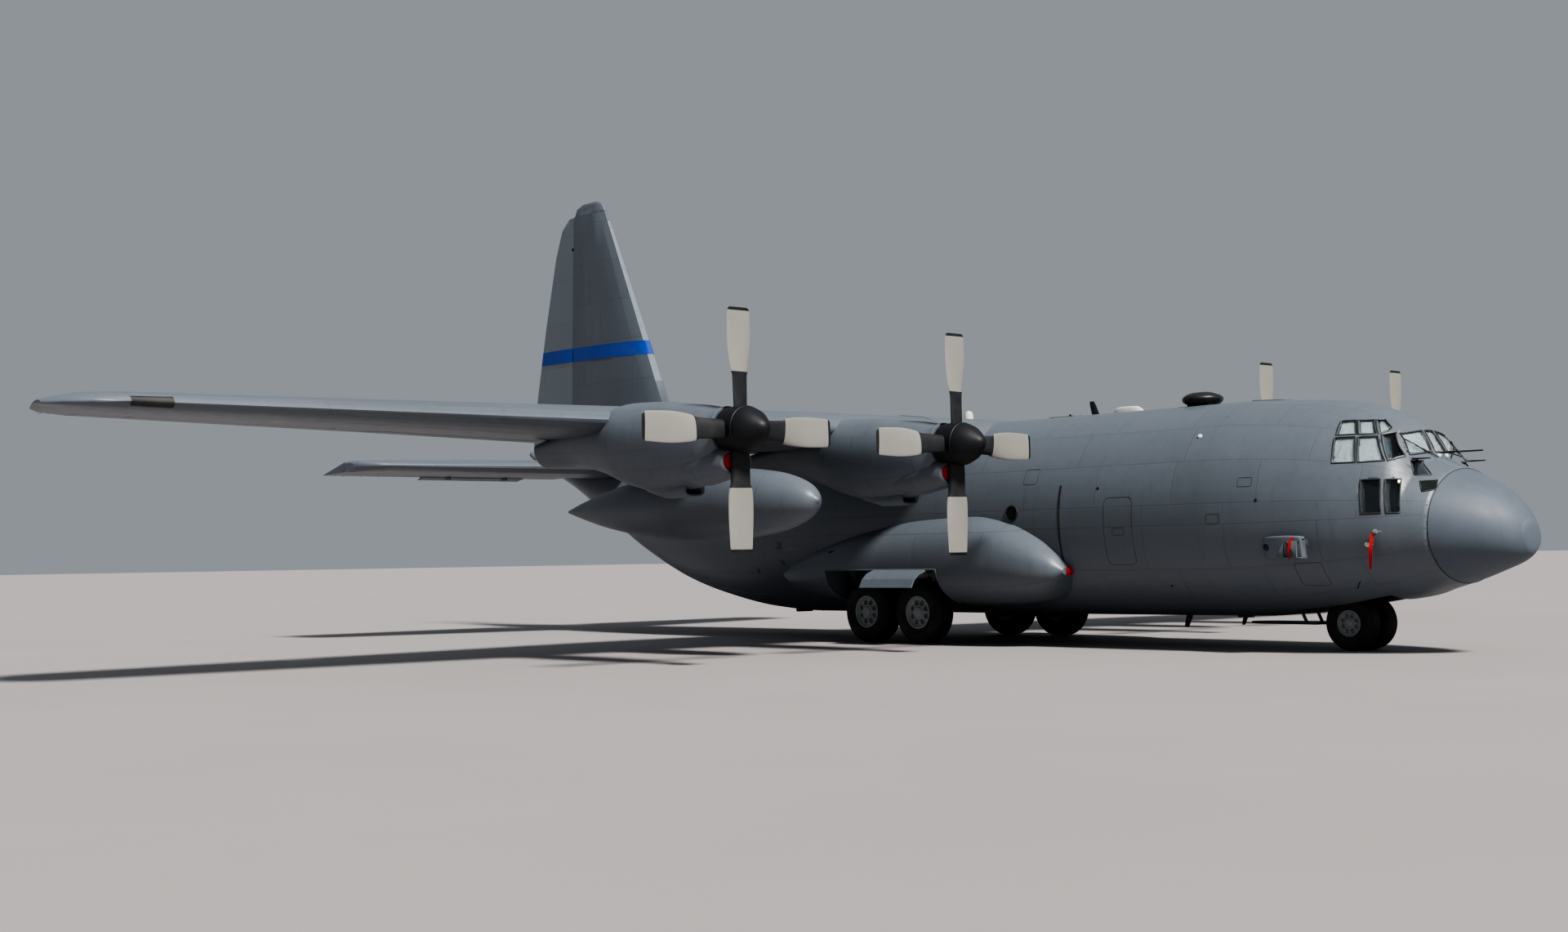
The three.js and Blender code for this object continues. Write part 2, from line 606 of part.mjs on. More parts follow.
// Hinges of the control surfaces: a bracket on the fixed part reaches through a slot in the moving
// part's nose to a pin on the hinge line. Each takes two points of that line and the nose radius.
const BRACKET = { half: 0.03, round: 0.04, pin: 0.022, reach: 0.06 };
function hinge(at, next, noseRadius, across) {
  const centre = new THREE.Vector3(...at);
  const along = new THREE.Vector3(...next).sub(centre).normalize();
  const end = (distance) => centre.clone().addScaledVector(along, distance).toArray();
  const slotHalf = BRACKET.half + MOVING_GAP;
  const box = (front, rear, half, deep) => {
    const size = across === "y" ? [front + rear, 2 * half, 2 * deep] : [front + rear, 2 * deep, 2 * half];
    const solid = new THREE.BoxGeometry(...size);
    solid.translate(centre.x + (front - rear) / 2, centre.y, centre.z);
    return solidOf(solid);
  };
  const side = across === "y" ? [0, BRACKET.half, 0] : [0, 0, BRACKET.half];
  const eye = rod(
    centre.clone().sub(new THREE.Vector3(...side)).toArray(),
    centre.clone().add(new THREE.Vector3(...side)).toArray(),
    BRACKET.round,
  );
  return {
    slot: box(noseRadius + 0.2, BRACKET.round + MOVING_GAP, slotHalf, noseRadius + 0.1),
    bracket: box(noseRadius + MOVING_GAP + BRACKET.reach, 0, BRACKET.half, BRACKET.round)
      .add(eye)
      .subtract(pin(end(-0.2), end(0.2), holeFor(BRACKET.pin))),
    pin: pin(end(-slotHalf - 0.02), end(slotHalf + 0.02), BRACKET.pin),
  };
}
const withBrackets = (fixed, hinges) => fixed.add(joined(hinges.map((one) => one.bracket)));
const withPins = (moving, hinges) =>
  moving.subtract(joined(hinges.map((one) => one.slot))).add(joined(hinges.map((one) => one.pin)));

const AILERON_HINGES = [14.6, 18.4];
const aileronAxis = (y) => wingPlace(y, [[AILERON_HINGE, camber(AILERON_HINGE)]])[0];
const aileronHinges = () =>
  AILERON_HINGES.map((y) =>
    hinge(
      aileronAxis(y),
      aileronAxis(y + 1),
      wingThickness(y) * halfThickness(AILERON_HINGE) * chordAt(y),
      "y",
    ),
  );

const TAPER_RATE = (ROOT_CHORD - TIP_CHORD) / (HALF_SPAN - TAPER_START);
const chordAt = (y) => ROOT_CHORD - TAPER_RATE * Math.max(0, Math.abs(y) - TAPER_START);

function wingOuter(side) {
  const ys = [TAPER_START + SEAT_GAP, FLAP_SPANS.outer[1] + MOVING_GAP];
  const flapBay = loft(ys.map((y) => wingPlace(y, wingFrontPoints(y))));
  const aileronYs = [ys[1], AILERON_SPAN[1] + MOVING_GAP];
  const aileronBay = loft(
    aileronYs.map((y) => wingPlace(y, aileronCovePoints(y, MOVING_GAP / chordAt(y)))),
  );
  const wing = joined([flapBay, aileronBay, wingTip(aileronYs[1])]);
  return sided(withBrackets(wing, aileronHinges()), side);
}

// The tip closes in plan view. Columns: y, share of the tip chord cut from the front, and from the rear.
function wingTip(start) {
  const rows = [
    [start, 0, 0],
    [19.75, 0.06, 0.1],
    [20.05, 0.2, 0.28],
    [HALF_SPAN, 0.36, 0.46],
  ];
  const full = [...PROFILE_STEPS, 0.85, 1];
  return loft(
    rows.map(([y, front, rear]) => {
      const t = wingThickness(y) * (1 - 0.8 * ((y - start) / (HALF_SPAN - start)) ** 3);
      const squeeze = (points) =>
        points.map(([along, up]) => [front + along * (1 - front - rear), up * (1 - 0.4 * front)]);
      return wingPlace(y, squeeze(outlineOver(t, full, [])));
    }),
  );
}

function wingCentre() {
  const ys = [0, FLAP_SPANS.inner[0] - MOVING_GAP, TAPER_START - SEAT_GAP];
  const whole = outlineOver(wingThickness(0), [...PROFILE_STEPS, 0.85, 1], []);
  const middle = loft([ys[0], ys[1]].map((y) => wingPlace(y, whole)));
  const flapBay = loft([ys[1], ys[2]].map((y) => wingPlace(y, wingFrontPoints(y))));
  const half = middle.add(flapBay);
  return half.add(mirrored(half)).subtract(clearOfHull);
}

const flap = (part, side) =>
  sided(
    loft(
      [FLAP_SPANS[part][0], FLAP_SPANS[part][1]].map((y) => wingPlace(y, flapPoints(y))),
    ),
    side,
  );

function aileron(side) {
  const edge = (y) => wingPlace(y, movableEdge(AILERON_HINGE, wingThickness(y), camber));
  return sided(withPins(loft(AILERON_SPAN.map(edge)), aileronHinges()), side);
}

// Tailplane and elevators
const TAIL_Z = 4.19;
const TAIL_HALF_SPAN = 8.03;
const TAIL_HINGE_STATION = 26.0;
const TAIL_THICKNESS = 0.12;
const TAIL_ELEVATOR_SPAN = [1.22, 7.98];
const ELEVATOR_DROOP = 8; // degrees that the elevators hang down by when parked
const tailLeading = (y) => 22.9 + 1.87 * (Math.abs(y) / TAIL_HALF_SPAN);
const tailChord = (y) => 4.15 - 1.81 * (Math.abs(y) / TAIL_HALF_SPAN);
const TAIL_HOLLOW_HALF = 7.0;
const TAIL_ACCESS = { stations: [23.9, 24.7], y: [-0.4, 0.4] }; // hole under the middle, inside the fuselage
const straight = () => 0;

// Hinge share that keeps the elevator hinge at one station across the span.
const tailHinge = (y) => (TAIL_HINGE_STATION - tailLeading(y)) / tailChord(y);
const tailPlace = (y, points) =>
  points.map(([along, up]) => [xAt(tailLeading(y) + along * tailChord(y)), y, TAIL_Z + up * tailChord(y)]);

const SYMMETRIC_STEPS = [0, 0.02, 0.1, 0.28, 0.5];
function symmetricFixed(hinge, thickness, gap) {
  return [
    ...SYMMETRIC_STEPS.slice(1).map((x) => [x, -thickness * halfThickness(x)]).reverse(),
    ...SYMMETRIC_STEPS.map((x) => [x, thickness * halfThickness(x)]),
    ...cove(hinge, thickness, straight, gap),
  ];
}

// The whole outline, for the cap of the fin
const symmetricWhole = (thickness) => {
  const steps = [0, 0.02, 0.1, 0.28, 0.5, 0.75, 1];
  return [
    ...steps.slice(1).map((x) => [x, -thickness * halfThickness(x) - 0.001]).reverse(),
    ...steps.map((x) => [x, thickness * halfThickness(x) + (x > 0 ? 0.001 : 0)]),
  ];
};

// The tail surfaces are hollow between their front and rear spars. Thickness of skin and spars:
const SKIN = 0.03;
function sparBox(hinge, thickness, chord) {
  const [, , front, , middle] = SYMMETRIC_STEPS;
  const { radius } = hingeCircle(hinge, thickness, straight);
  const rear = hinge - radius - (MOVING_GAP + SKIN) / chord;
  const upper = [front, 0.28, middle, rear].map((x) => [x, thickness * halfThickness(x) - SKIN / chord]);
  return [...upper, ...upper.map(([x, up]) => [x, -up]).reverse()];
}

// Columns: y, share of the chord that the round tip cuts from the front, share of the thickness.
const TAIL_ROWS = [
  [0, 0, 1],
  [7.5, 0, 1],
  [7.8, 0.08, 1],
  [TAIL_ELEVATOR_SPAN[1] + MOVING_GAP, 0.2, 1],
  [TAIL_HALF_SPAN, 0.3, 0.66],
];
function tailplane() {
  const skinPoints = 2 * SYMMETRIC_STEPS.length - 1;
  const lastStep = SYMMETRIC_STEPS[SYMMETRIC_STEPS.length - 1];
  const front = loft(
    TAIL_ROWS.map(([y, cut, thickness]) => {
      const outline = symmetricFixed(tailHinge(y), TAIL_THICKNESS * thickness, MOVING_GAP / tailChord(y));
      return tailPlace(
        y,
        outline.map(([along, up], i) => [i < skinPoints ? cut + along * (1 - cut / lastStep) : along, up]),
      );
    }),
  );
  const half = withBrackets(front, elevatorHinges());
  const hollow = loft(
    [-TAIL_HOLLOW_HALF, 0, TAIL_HOLLOW_HALF].map((y) =>
      tailPlace(y, sparBox(tailHinge(y), TAIL_THICKNESS, tailChord(y))),
    ),
  );
  const accessHole = block(TAIL_ACCESS.stations, TAIL_ACCESS.y, [TAIL_Z - 0.5, TAIL_Z]);
  return half.add(mirrored(half)).subtract(hollow).subtract(accessHole);
}

// Space that the fuselage leaves for the root of the tailplane
const clearOfTailplane = () =>
  loft(
    [-1.6, 0, 1.6].map((y) => {
      const outline = symmetricFixed(tailHinge(y), TAIL_THICKNESS, MOVING_GAP / tailChord(y));
      const corners = outline.filter((point, i) => i < 10 || i === outline.length - 1);
      return tailPlace(y, corners).map(([x, , z], i) => [
        x + (x > xAt(25) ? 2 : -1) * SEAT_GAP,
        y,
        z + 2 * SEAT_GAP * Math.sign(corners[i][1]),
      ]);
    }),
  );

const ELEVATOR_HINGES = [2.2, 6.0];
const elevatorHinges = () =>
  ELEVATOR_HINGES.map((y) => {
    const x = xAt(TAIL_HINGE_STATION);
    const radius = TAIL_THICKNESS * halfThickness(tailHinge(y)) * tailChord(y);
    return hinge([x, y, TAIL_Z], [x, y + 1, TAIL_Z], radius, "y");
  });

function elevator(side) {
  const edge = (y) => tailPlace(y, movableEdge(tailHinge(y), TAIL_THICKNESS, straight));
  const hingeLine = [xAt(TAIL_HINGE_STATION), 0, TAIL_Z];
  const hung = withPins(loft(TAIL_ELEVATOR_SPAN.map(edge)), elevatorHinges())
    .translate(hingeLine.map((value) => -value))
    .rotate([0, -ELEVATOR_DROOP, 0])
    .translate(hingeLine);
  return sided(hung, side);
}

// Fin and rudder. Columns: z, station of the leading edge, station of the trailing edge.
const RUDDER_HINGE_STATION = 27.55;
const FIN_ROWS = [
  [4.3, 22.65, 29.79],
  [6.4, 23.72, 29.45],
  [8.4, 24.68, 28.98],
  [10.3, 25.6, 28.46],
  [11.0, 25.95, 28.16],
];
const RUDDER_TOP = 11.3;
const RUDDER_TOP_CUT = 0.22; // rounds the rudder's upper rear corner
const RUDDER_BOTTOM = 5.06;
const FIN_THICKNESS = 0.11;
const FIN_HOLLOW = [4.32, 6.4, 8.4, 10.3, 10.9]; // heights of its sections, open at the lowest
function finRow(z) {
  const above = FIN_ROWS.slice(1, -1).filter((row) => row[0] <= z).length;
  const [low, high] = [FIN_ROWS[above], FIN_ROWS[above + 1]];
  const share = (z - low[0]) / (high[0] - low[0]);
  return [low[1] + share * (high[1] - low[1]), low[2] + share * (high[2] - low[2])];
}
const finPlace = (z, points, [leading, trailing] = finRow(z)) =>
  points.map(([along, out]) => [
    xAt(leading + along * (trailing - leading)),
    out * (trailing - leading),
    z,
  ]);
const finHinge = (z) => {
  const [leading, trailing] = finRow(z);
  return (RUDDER_HINGE_STATION - leading) / (trailing - leading);
};
const finGap = (z) => {
  const [leading, trailing] = finRow(z);
  return MOVING_GAP / (trailing - leading);
};

function fin() {
  const heights = [4.5, 6.4, 8.4, 10.3, 11.0, RUDDER_TOP];
  const blade = loft(
    heights.map((z) => finPlace(z, symmetricFixed(finHinge(z), FIN_THICKNESS, finGap(z)))),
  );
  const capRows = [
    [RUDDER_TOP, 26.1, 27.55, 1],
    [11.5, 26.24, 27.45, 0.9],
    [11.6, 26.46, 27.15, 0.5],
  ];
  const cap = loft(
    capRows.map(([z, leading, trailing, width]) =>
      finPlace(z, symmetricWhole(0.14 * width), [leading, trailing]),
    ),
  );
  const filletRows = [
    [20.2, 4.62, 0.05],
    [21.6, 4.86, 0.1],
    [22.7, 5.2, 0.15],
    [23.4, 5.75, 0.18],
  ];
  const fillet = loft(
    filletRows.map(([station, top, half]) => [
      [xAt(station), -half * 1.6, 4.4],
      [xAt(station), half * 1.6, 4.4],
      [xAt(station), half, (4.5 + top) / 2],
      [xAt(station), 0.02, top],
      [xAt(station), -0.02, top],
      [xAt(station), -half, (4.5 + top) / 2],
    ]),
  );
  const hollow = loft(
    FIN_HOLLOW.map((z) => {
      const [leading, trailing] = finRow(z);
      return finPlace(z, sparBox(finHinge(z), FIN_THICKNESS, trailing - leading));
    }),
  );
  return withBrackets(joined([blade, cap, fillet]).subtract(hollow), rudderHinges()).subtract(clearOfHull);
}

const RUDDER_HINGES = [5.9, 10.4];
const rudderHinges = () =>
  RUDDER_HINGES.map((z) => {
    const [leading, trailing] = finRow(z);
    const x = xAt(RUDDER_HINGE_STATION);
    const radius = FIN_THICKNESS * halfThickness(finHinge(z)) * (trailing - leading);
    return hinge([x, 0, z], [x, 0, z + 1], radius, "z");
  });

function rudder() {
  const heights = [RUDDER_BOTTOM, 6.4, 8.4, 10.3, 11.0, RUDDER_TOP - MOVING_GAP];
  const surface = loft(
    heights.map((z) => {
      const [leading, trailing] = finRow(z);
      const last = z > FIN_ROWS[FIN_ROWS.length - 1][0] ? trailing - RUDDER_TOP_CUT : trailing;
      const share = (last - leading) / (trailing - leading);
      return finPlace(z, movableEdge(finHinge(z), FIN_THICKNESS, straight)).map(([x, y, height]) => [
        Math.max(x, xAt(leading + share * (trailing - leading))),
        y,
        height,
      ]);
    }),
  );
  return withPins(surface, rudderHinges());
}

// Nacelle skin. Columns: station, top over the hub, bottom under the hub, half width.
const NACELLE = [
  [9.0, 0.4, 0.74, 0.42],
  [9.35, 0.46, 0.84, 0.52],
  [9.95, 0.53, 0.96, 0.58],
  [10.5, 0.6, 1.0, 0.6],
  [11.5, 0.64, 0.84, 0.6],
  [12.3, 0.5, 0.58, 0.54],
  [13.2, 0.3, 0.42, 0.44],
  [14.2, 0.1, 0.4, 0.34],
];
const NACELLE_SIDES = 16;
const NACELLE_WALL = 0.03;
function nacelleSection([station, top, bottom, half], engine, inset) {
  return Array.from({ length: NACELLE_SIDES }, (_, i) => {
    const angle = (2 * Math.PI * i) / NACELLE_SIDES;
    const up = Math.sin(angle) >= 0;
    const middle = (top - bottom) / 2 + 0.1;
    const height = up ? top - middle : middle + bottom;
    return [
      xAt(station),
      engine.y + (half - inset) * Math.cos(angle),
      engine.z + middle + (height - inset) * Math.sin(angle),
    ];
  });
}
const ENGINE_BLOCK = { stations: [9.75, 12.0], radius: 0.3, drop: 0.2 };
const INLET = { drop: 0.5, radius: 0.24 };

function nacelle(engine) {
  const skin = loft(NACELLE.map((row) => nacelleSection(row, engine, 0)));
  const within = (inset) =>
    loft(
      [NACELLE[1], NACELLE[3], NACELLE[5], NACELLE[7]].map((row) => nacelleSection(row, engine, inset)),
    );
  const hollow = within(NACELLE_WALL);
  const midWall = within(NACELLE_WALL / 2);
  const inlet = rod(
    [xAt(8.8), engine.y, engine.z - INLET.drop],
    [xAt(9.6), engine.y, engine.z - INLET.drop],
    INLET.radius,
  );
  const exhaust = rod(
    [xAt(13.9), engine.y, engine.z - 0.15],
    [xAt(14.5), engine.y, engine.z - 0.15],
    0.2,
  );
  const mount = block(
    [10.6, 11.2],
    [engine.y - 0.05, engine.y + 0.05],
    [engine.z - 0.12, engine.z + 0.6],
  ).intersect(midWall);
  const shaft = rod([xAt(SPINNER_END + SEAT_GAP), engine.y, engine.z], [xAt(9.4), engine.y, engine.z], 0.14);
  const shaftCarrier = block(
    [9.36, 9.44],
    [engine.y - 0.6, engine.y + 0.6],
    [engine.z - 0.15, engine.z + 0.6],
  ).intersect(midWall);
  const coolerScoop = loft([
    [9.9, 0.05],
    [10.35, 0.14],
    [10.95, 0.02],
  ].map(([station, drop]) => [
    [xAt(station), engine.y - 0.22, engine.z - 0.85],
    [xAt(station), engine.y + 0.22, engine.z - 0.85],
    [xAt(station), engine.y + 0.18, engine.z - 0.96 - drop],
    [xAt(station), engine.y - 0.18, engine.z - 0.96 - drop],
  ])).subtract(midWall);
  return skin
    .subtract(hollow)
    .subtract(inlet)
    .subtract(exhaust)
    .add(mount)
    .add(shaft)
    .add(shaftCarrier)
    .add(coolerScoop)
    .subtract(clearOfWing);
}

const engineBlock = (engine) => {
  const { stations, radius, drop } = ENGINE_BLOCK;
  const z = engine.z - drop;
  return rod([xAt(stations[0]), engine.y, z], [xAt(stations[1]), engine.y, z], radius, radius * 0.8, 16)
    .subtract(
      block(
        [10.6 - SEAT_GAP, 11.2 + SEAT_GAP],
        [engine.y - 0.05 - SEAT_GAP, engine.y + 0.05 + SEAT_GAP],
        [engine.z - 0.12 - SEAT_GAP, engine.z + 0.6],
      ),
    );
};

// Propeller: a pointed spinner and four broad blades set flat, as the engine idles on the ground.
// Blade columns: radius, width, thickness, pitch in degrees.
const BLADE_ROWS = [
  [0.2, 0.24, 0.2, 40],
  [0.5, 0.26, 0.16, 30],
  [0.95, 0.42, 0.08, 18],
  [1.45, 0.5, 0.05, 8],
  [1.95, 0.5, 0.035, 2],
  [PROPELLER_RADIUS, 0.44, 0.03, 0],
];
const BLADE_ANGLES = [0, 90, 180, 270];
const SPINNER_PROFILE = [
  [SPINNER_END, 0],
  [SPINNER_END, 0.39],
  [8.62, 0.4],
  [8.35, 0.34],
  [8.12, 0.22],
  [7.98, 0.08],
  [7.96, 0],
];

function propeller(engine) {
  const spinner = new THREE.LatheGeometry(
    SPINNER_PROFILE.map(([station, radius]) => new THREE.Vector2(radius, -station)),
    16,
  );
  spinner.rotateZ(-Math.PI / 2);
  spinner.translate(LENGTH / 2, engine.y, engine.z);
  const blades = BLADE_ANGLES.map((angle) => {
    const turn = THREE.MathUtils.degToRad(angle);
    const sections = BLADE_ROWS.map(([radius, width, thickness, pitch]) => {
      const tilt = THREE.MathUtils.degToRad(pitch);
      return [
        [-0.5, 0],
        [-0.2, -0.45],
        [0.3, -0.35],
        [0.5, 0],
        [0.3, 0.35],
        [-0.2, 0.45],
      ].map(([across, deep]) => {
        const side = across * width;
        const fore = deep * thickness;
        const y = side * Math.cos(tilt) - fore * Math.sin(tilt);
        const x = side * Math.sin(tilt) + fore * Math.cos(tilt);
        return [
          xAt(PROPELLER_STATION) + x,
          engine.y + y * Math.cos(turn) - radius * Math.sin(turn),
          engine.z + y * Math.sin(turn) + radius * Math.cos(turn),
        ];
      });
    });
    return loft(sections);
  });
  return joined([solidOf(spinner), ...blades]);
}

// External fuel tank on its pylon, between the engines of each wing
const TANK_Y = 7.55;
const TANK_Z = 2.86;
const TANK_SIDES = 16;
const TANK_ROWS = [
  [9.6, 0.06],
  [9.72, 0.22],
  [10.1, 0.42],
  [10.8, 0.58],
  [11.8, 0.66],
  [13.2, 0.66],
  [14.6, 0.56],
  [15.8, 0.38],
  [16.7, 0.18],
  [17.28, 0.03],
];
function fuelTank(side) {
  const body = loft(
    TANK_ROWS.map(([station, radius]) =>
      Array.from({ length: TANK_SIDES }, (_, i) => {
        const angle = (2 * Math.PI * i) / TANK_SIDES;
        return [xAt(station), TANK_Y + radius * Math.cos(angle), TANK_Z + radius * Math.sin(angle)];
      }),
    ),
  );
  const pylon = loft(
    [TANK_Z + 0.4, 4.4].map((z) =>
      [
        [11.45, 0.02],
        [11.9, 0.11],
        [13.2, 0.13],
        [14.5, 0.02],
        [13.2, -0.13],
        [11.9, -0.11],
      ].map(([station, y]) => [xAt(station + (z > 3.5 ? 0.15 : 0)), TANK_Y + y, z]),
    ),
  );
  return sided(body.add(pylon).subtract(clearOfLeftWing), side);
}

// Main gear fairing. Columns: station, top z, bottom z, outermost y.
const SPONSON_ROWS = [
  [8.46, 1.62, 1.36, 2.2],
  [8.68, 1.92, 1.12, 2.4],
  [9.15, 2.26, 0.92, 2.6],
  [9.9, 2.56, 0.83, 2.74],
  [10.8, 2.7, 0.8, 2.8],
  [12.2, 2.66, 0.8, 2.8],
  [14.0, 2.42, 0.82, 2.76],
  [15.4, 2.08, 0.92, 2.62],
  [16.2, 1.8, 1.08, 2.42],
  [16.6, 1.62, 1.3, 2.2],
];
const SPONSON_SIDES = 18;
const BAY_DOOR_HINGE_Z = 1.55;
const BAY_DOOR_STATIONS = [11.57, 13.08];
function sponson(side) {
  const body = loft(
    SPONSON_ROWS.map(([station, top, bottom, out]) =>
      Array.from({ length: SPONSON_SIDES }, (_, i) => {
        const angle = (2 * Math.PI * i) / SPONSON_SIDES;
        const power = (value, exponent) => Math.sign(value) * Math.abs(value) ** exponent;
        return [
          xAt(station),
          1.4 + (out - 1.4) * power(Math.cos(angle), 0.8),
          (top + bottom) / 2 + ((top - bottom) / 2) * power(Math.sin(angle), 0.85),
        ];
      }),
    ),
  );
  const bay = mainBay(0, MAIN_BAY.outer).add(
    block([MAIN_BAY.stations[0], MAIN_BAY.stations[1]], [MAIN_BAY.inner, 3.2], [0.2, BAY_DOOR_HINGE_Z]),
  );
  const shell = body.add(jackPad(WING_JACK)).subtract(bay).subtract(mainBay(BAY_LINING + SEAT_GAP, 2.1));
  return sided(shell, side).subtract(clearOfHull);
}

// Open door of the main wheel bay: a curved panel that stands out from its hinge at the top.
function mainGearDoor(side) {
  const top = BAY_DOOR_HINGE_Z - SEAT_GAP;
  const outline = [
    [2.64, top],
    [2.8, top],
    [3.0, top - 0.07],
    [3.14, top - 0.19],
    [3.23, top - 0.36],
    [3.2, top - 0.37],
    [3.11, top - 0.21],
    [2.98, top - 0.105],
    [2.8, top - 0.045],
    [2.64, top - 0.045],
  ];
  return sided(frontPrism(outline, ...BAY_DOOR_STATIONS), side);
}

const WHEEL_SIDES = 24;
const HALF_SIDE = Math.PI / WHEEL_SIDES; // turns the tyre so that it stands on a flat of its tread
const HUB_FACE = 0.45; // outer face of the hub, as a share of half the tyre's width

// Tyre and wheel as one turned piece, on an axle along Y.
function wheel(station, y, radius, width, rim, bore, outward) {
  const half = width / 2;
  const profile = [
    [bore, -half * 0.5],
    [rim, -half * 0.8],
    [radius * 0.86, -half],
    [radius, -half * 0.55],
    [radius, half * 0.55],
    [radius * 0.86, half],
    [rim, half * 0.8],
    [bore + 0.05, half * HUB_FACE],
    [bore, half * HUB_FACE],
    [bore, -half * 0.5],
  ];
  const lathe = new THREE.LatheGeometry(
    profile.map(([r, along]) => new THREE.Vector2(r > rim ? r / Math.cos(HALF_SIDE) : r, along * outward)),
    WHEEL_SIDES,
    HALF_SIDE,
  );
  if (outward < 0) lathe.index.array.reverse();
  lathe.translate(xAt(station), y, radius);
  return solidOf(lathe);
}

const MAIN_AXLE_RADIUS = 0.1;
const MAIN_RIM = 0.3;
const mainWheel = (place, side) =>
  sided(
    wheel(
      MAIN_WHEEL_STATIONS[place],
      MAIN_WHEEL_Y,
      MAIN_TYRE_RADIUS,
      MAIN_TYRE_WIDTH,
      MAIN_RIM,
      holeFor(MAIN_AXLE_RADIUS),
      1,
    ),
    side,
  );

// Two upright struts with their axles, joined by the beam that ties them
function mainGearLeg(side) {
  const y = 1.75;
  const hubFace = MAIN_WHEEL_Y + (HUB_FACE * MAIN_TYRE_WIDTH) / 2;
  const z = MAIN_TYRE_RADIUS;
  const struts = Object.values(MAIN_WHEEL_STATIONS).map((station) => {
    const x = xAt(station);
    return joined([
      rod([x, y, z - 0.13], [x, y, 1.3], 0.085),
      rod([x, y, 1.28], [x, y, MAIN_BAY.top - SEAT_GAP], 0.125),
      pin([x, y - 0.09, z], [x, hubFace + 0.05, z], MAIN_AXLE_RADIUS),
      rod([x, hubFace + SEAT_GAP, z], [x, hubFace + 0.05, z], MAIN_AXLE_RADIUS + 0.03),
    ]);
  });
  const beam = rod(
    [xAt(MAIN_WHEEL_STATIONS.front), y, 1.42],
    [xAt(MAIN_WHEEL_STATIONS.rear), y, 1.42],
    0.07,
  );
  return sided(joined([...struts, beam]), side);
}

const NOSE_AXLE_RADIUS = 0.06;
const NOSE_PISTON_RADIUS = 0.055;
const NOSE_RIM = 0.22;
const NOSE_BORE = 0.05; // smaller than the axle, so that both wheels and the axle are one piece
function noseWheels() {
  const both = [NOSE_WHEEL_Y, -NOSE_WHEEL_Y].map((y) =>
    wheel(NOSE_WHEEL_STATION, y, NOSE_TYRE_RADIUS, NOSE_TYRE_WIDTH, NOSE_RIM, NOSE_BORE, Math.sign(y)),
  );
  const axle = pin(
    [xAt(NOSE_WHEEL_STATION), -NOSE_WHEEL_Y - 0.06, NOSE_TYRE_RADIUS],
    [xAt(NOSE_WHEEL_STATION), NOSE_WHEEL_Y + 0.06, NOSE_TYRE_RADIUS],
    NOSE_AXLE_RADIUS,
  );
  return joined([...both, axle]);
}

// The steered lower leg carries the axle in a sleeve between the wheels.
function noseFork() {
  const x = xAt(NOSE_WHEEL_STATION);
  const sleeve = rod([x, -0.07, NOSE_TYRE_RADIUS], [x, 0.07, NOSE_TYRE_RADIUS], 0.1);
  const piston = pin([x, 0, NOSE_TYRE_RADIUS], [x, 0, 1.25], NOSE_PISTON_RADIUS);
  const bore = pin([x, -0.2, NOSE_TYRE_RADIUS], [x, 0.2, NOSE_TYRE_RADIUS], holeFor(NOSE_AXLE_RADIUS));
  const steeringArm = block(
    [NOSE_WHEEL_STATION + 0.02, NOSE_WHEEL_STATION + 0.16],
    [-0.05, 0.05],
    [0.98, 1.05],
  );
  return joined([sleeve, piston, steeringArm]).subtract(bore);
}

function noseGearLeg() {
  const x = xAt(NOSE_WHEEL_STATION);
  const cylinder = rod([x, 0, 1.06], [x, 0, NOSE_BAY.top - SEAT_GAP], 0.095);
  const socket = pin([x, 0, 1.0], [x, 0, 1.3], holeFor(NOSE_PISTON_RADIUS));
  const brace = rod([x - 0.05, 0, 1.35], [xAt(4.1), 0, 1.69], 0.045);
  const braceFoot = block([3.98, 4.2], [-0.12, 0.12], [1.66, NOSE_BAY.top - SEAT_GAP]);
  const trunnion = rod([x, -NOSE_BAY.half + SEAT_GAP, 1.55], [x, NOSE_BAY.half - SEAT_GAP, 1.55], 0.06);
  return joined([cylinder, brace, braceFoot, trunnion]).subtract(socket);
}

// Rear door of the nose wheel bay hangs level under the belly on two arms.
function noseGearDoor() {
  const panel = loft([
    [4.0, 0.4],
    [5.3, 0.34],
    [5.6, 0.12],
  ].map(([station, half]) => [
    [xAt(station), -half, 0.46],
    [xAt(station), half, 0.46],
    [xAt(station), half * 0.9, 0.5],
    [xAt(station), -half * 0.9, 0.5],
  ]));
  const arms = [-0.25, 0.25].map((y) => rod([xAt(4.3), y, 0.49], [xAt(4.5), y, 0.9], 0.03, 0.03, 8));
  return joined([panel, ...arms]).subtract(clearOfHull);
}

// Round black aerial housing on the roof
const ROOF_DOME = { station: 6.7, foot: 0.3, radius: 0.4, half: 0.15, z: 4.78 };
function roofDome() {
  const { station, foot, radius, half, z } = ROOF_DOME;
  const base = rod([xAt(station), 0, 4.5], [xAt(station), 0, z - half / 2], foot, foot, 18);
  const lens = new THREE.SphereGeometry(1, 18, 6);
  lens.scale(radius, radius, half);
  lens.translate(xAt(station), 0, z);
  return base.add(solidOf(lens)).subtract(clearOfHull);
}

// What the nacelles, tanks and doors must keep clear of
const growY = [TAPER_START, FLAP_SPANS.outer[1], AILERON_SPAN[1]];
function wingEnvelope() {
  const grown = (y) => {
    const t = wingThickness(y);
    const steps = [...PROFILE_STEPS, 0.85, 1];
    const share = SEAT_GAP / chordAt(y);
    return outlineOver(t, steps, []).map(([along, up]) => [
      along < 0.1 ? along - 2 * share : along,
      up + (up > camber(along) ? 1.5 : -1.5) * share,
    ]);
  };
  return loft([0, ...growY].map((y) => wingPlace(y, grown(y))));
}
const clearOfLeftWing = wingEnvelope();
const clearOfWing = clearOfLeftWing.add(mirrored(clearOfLeftWing));

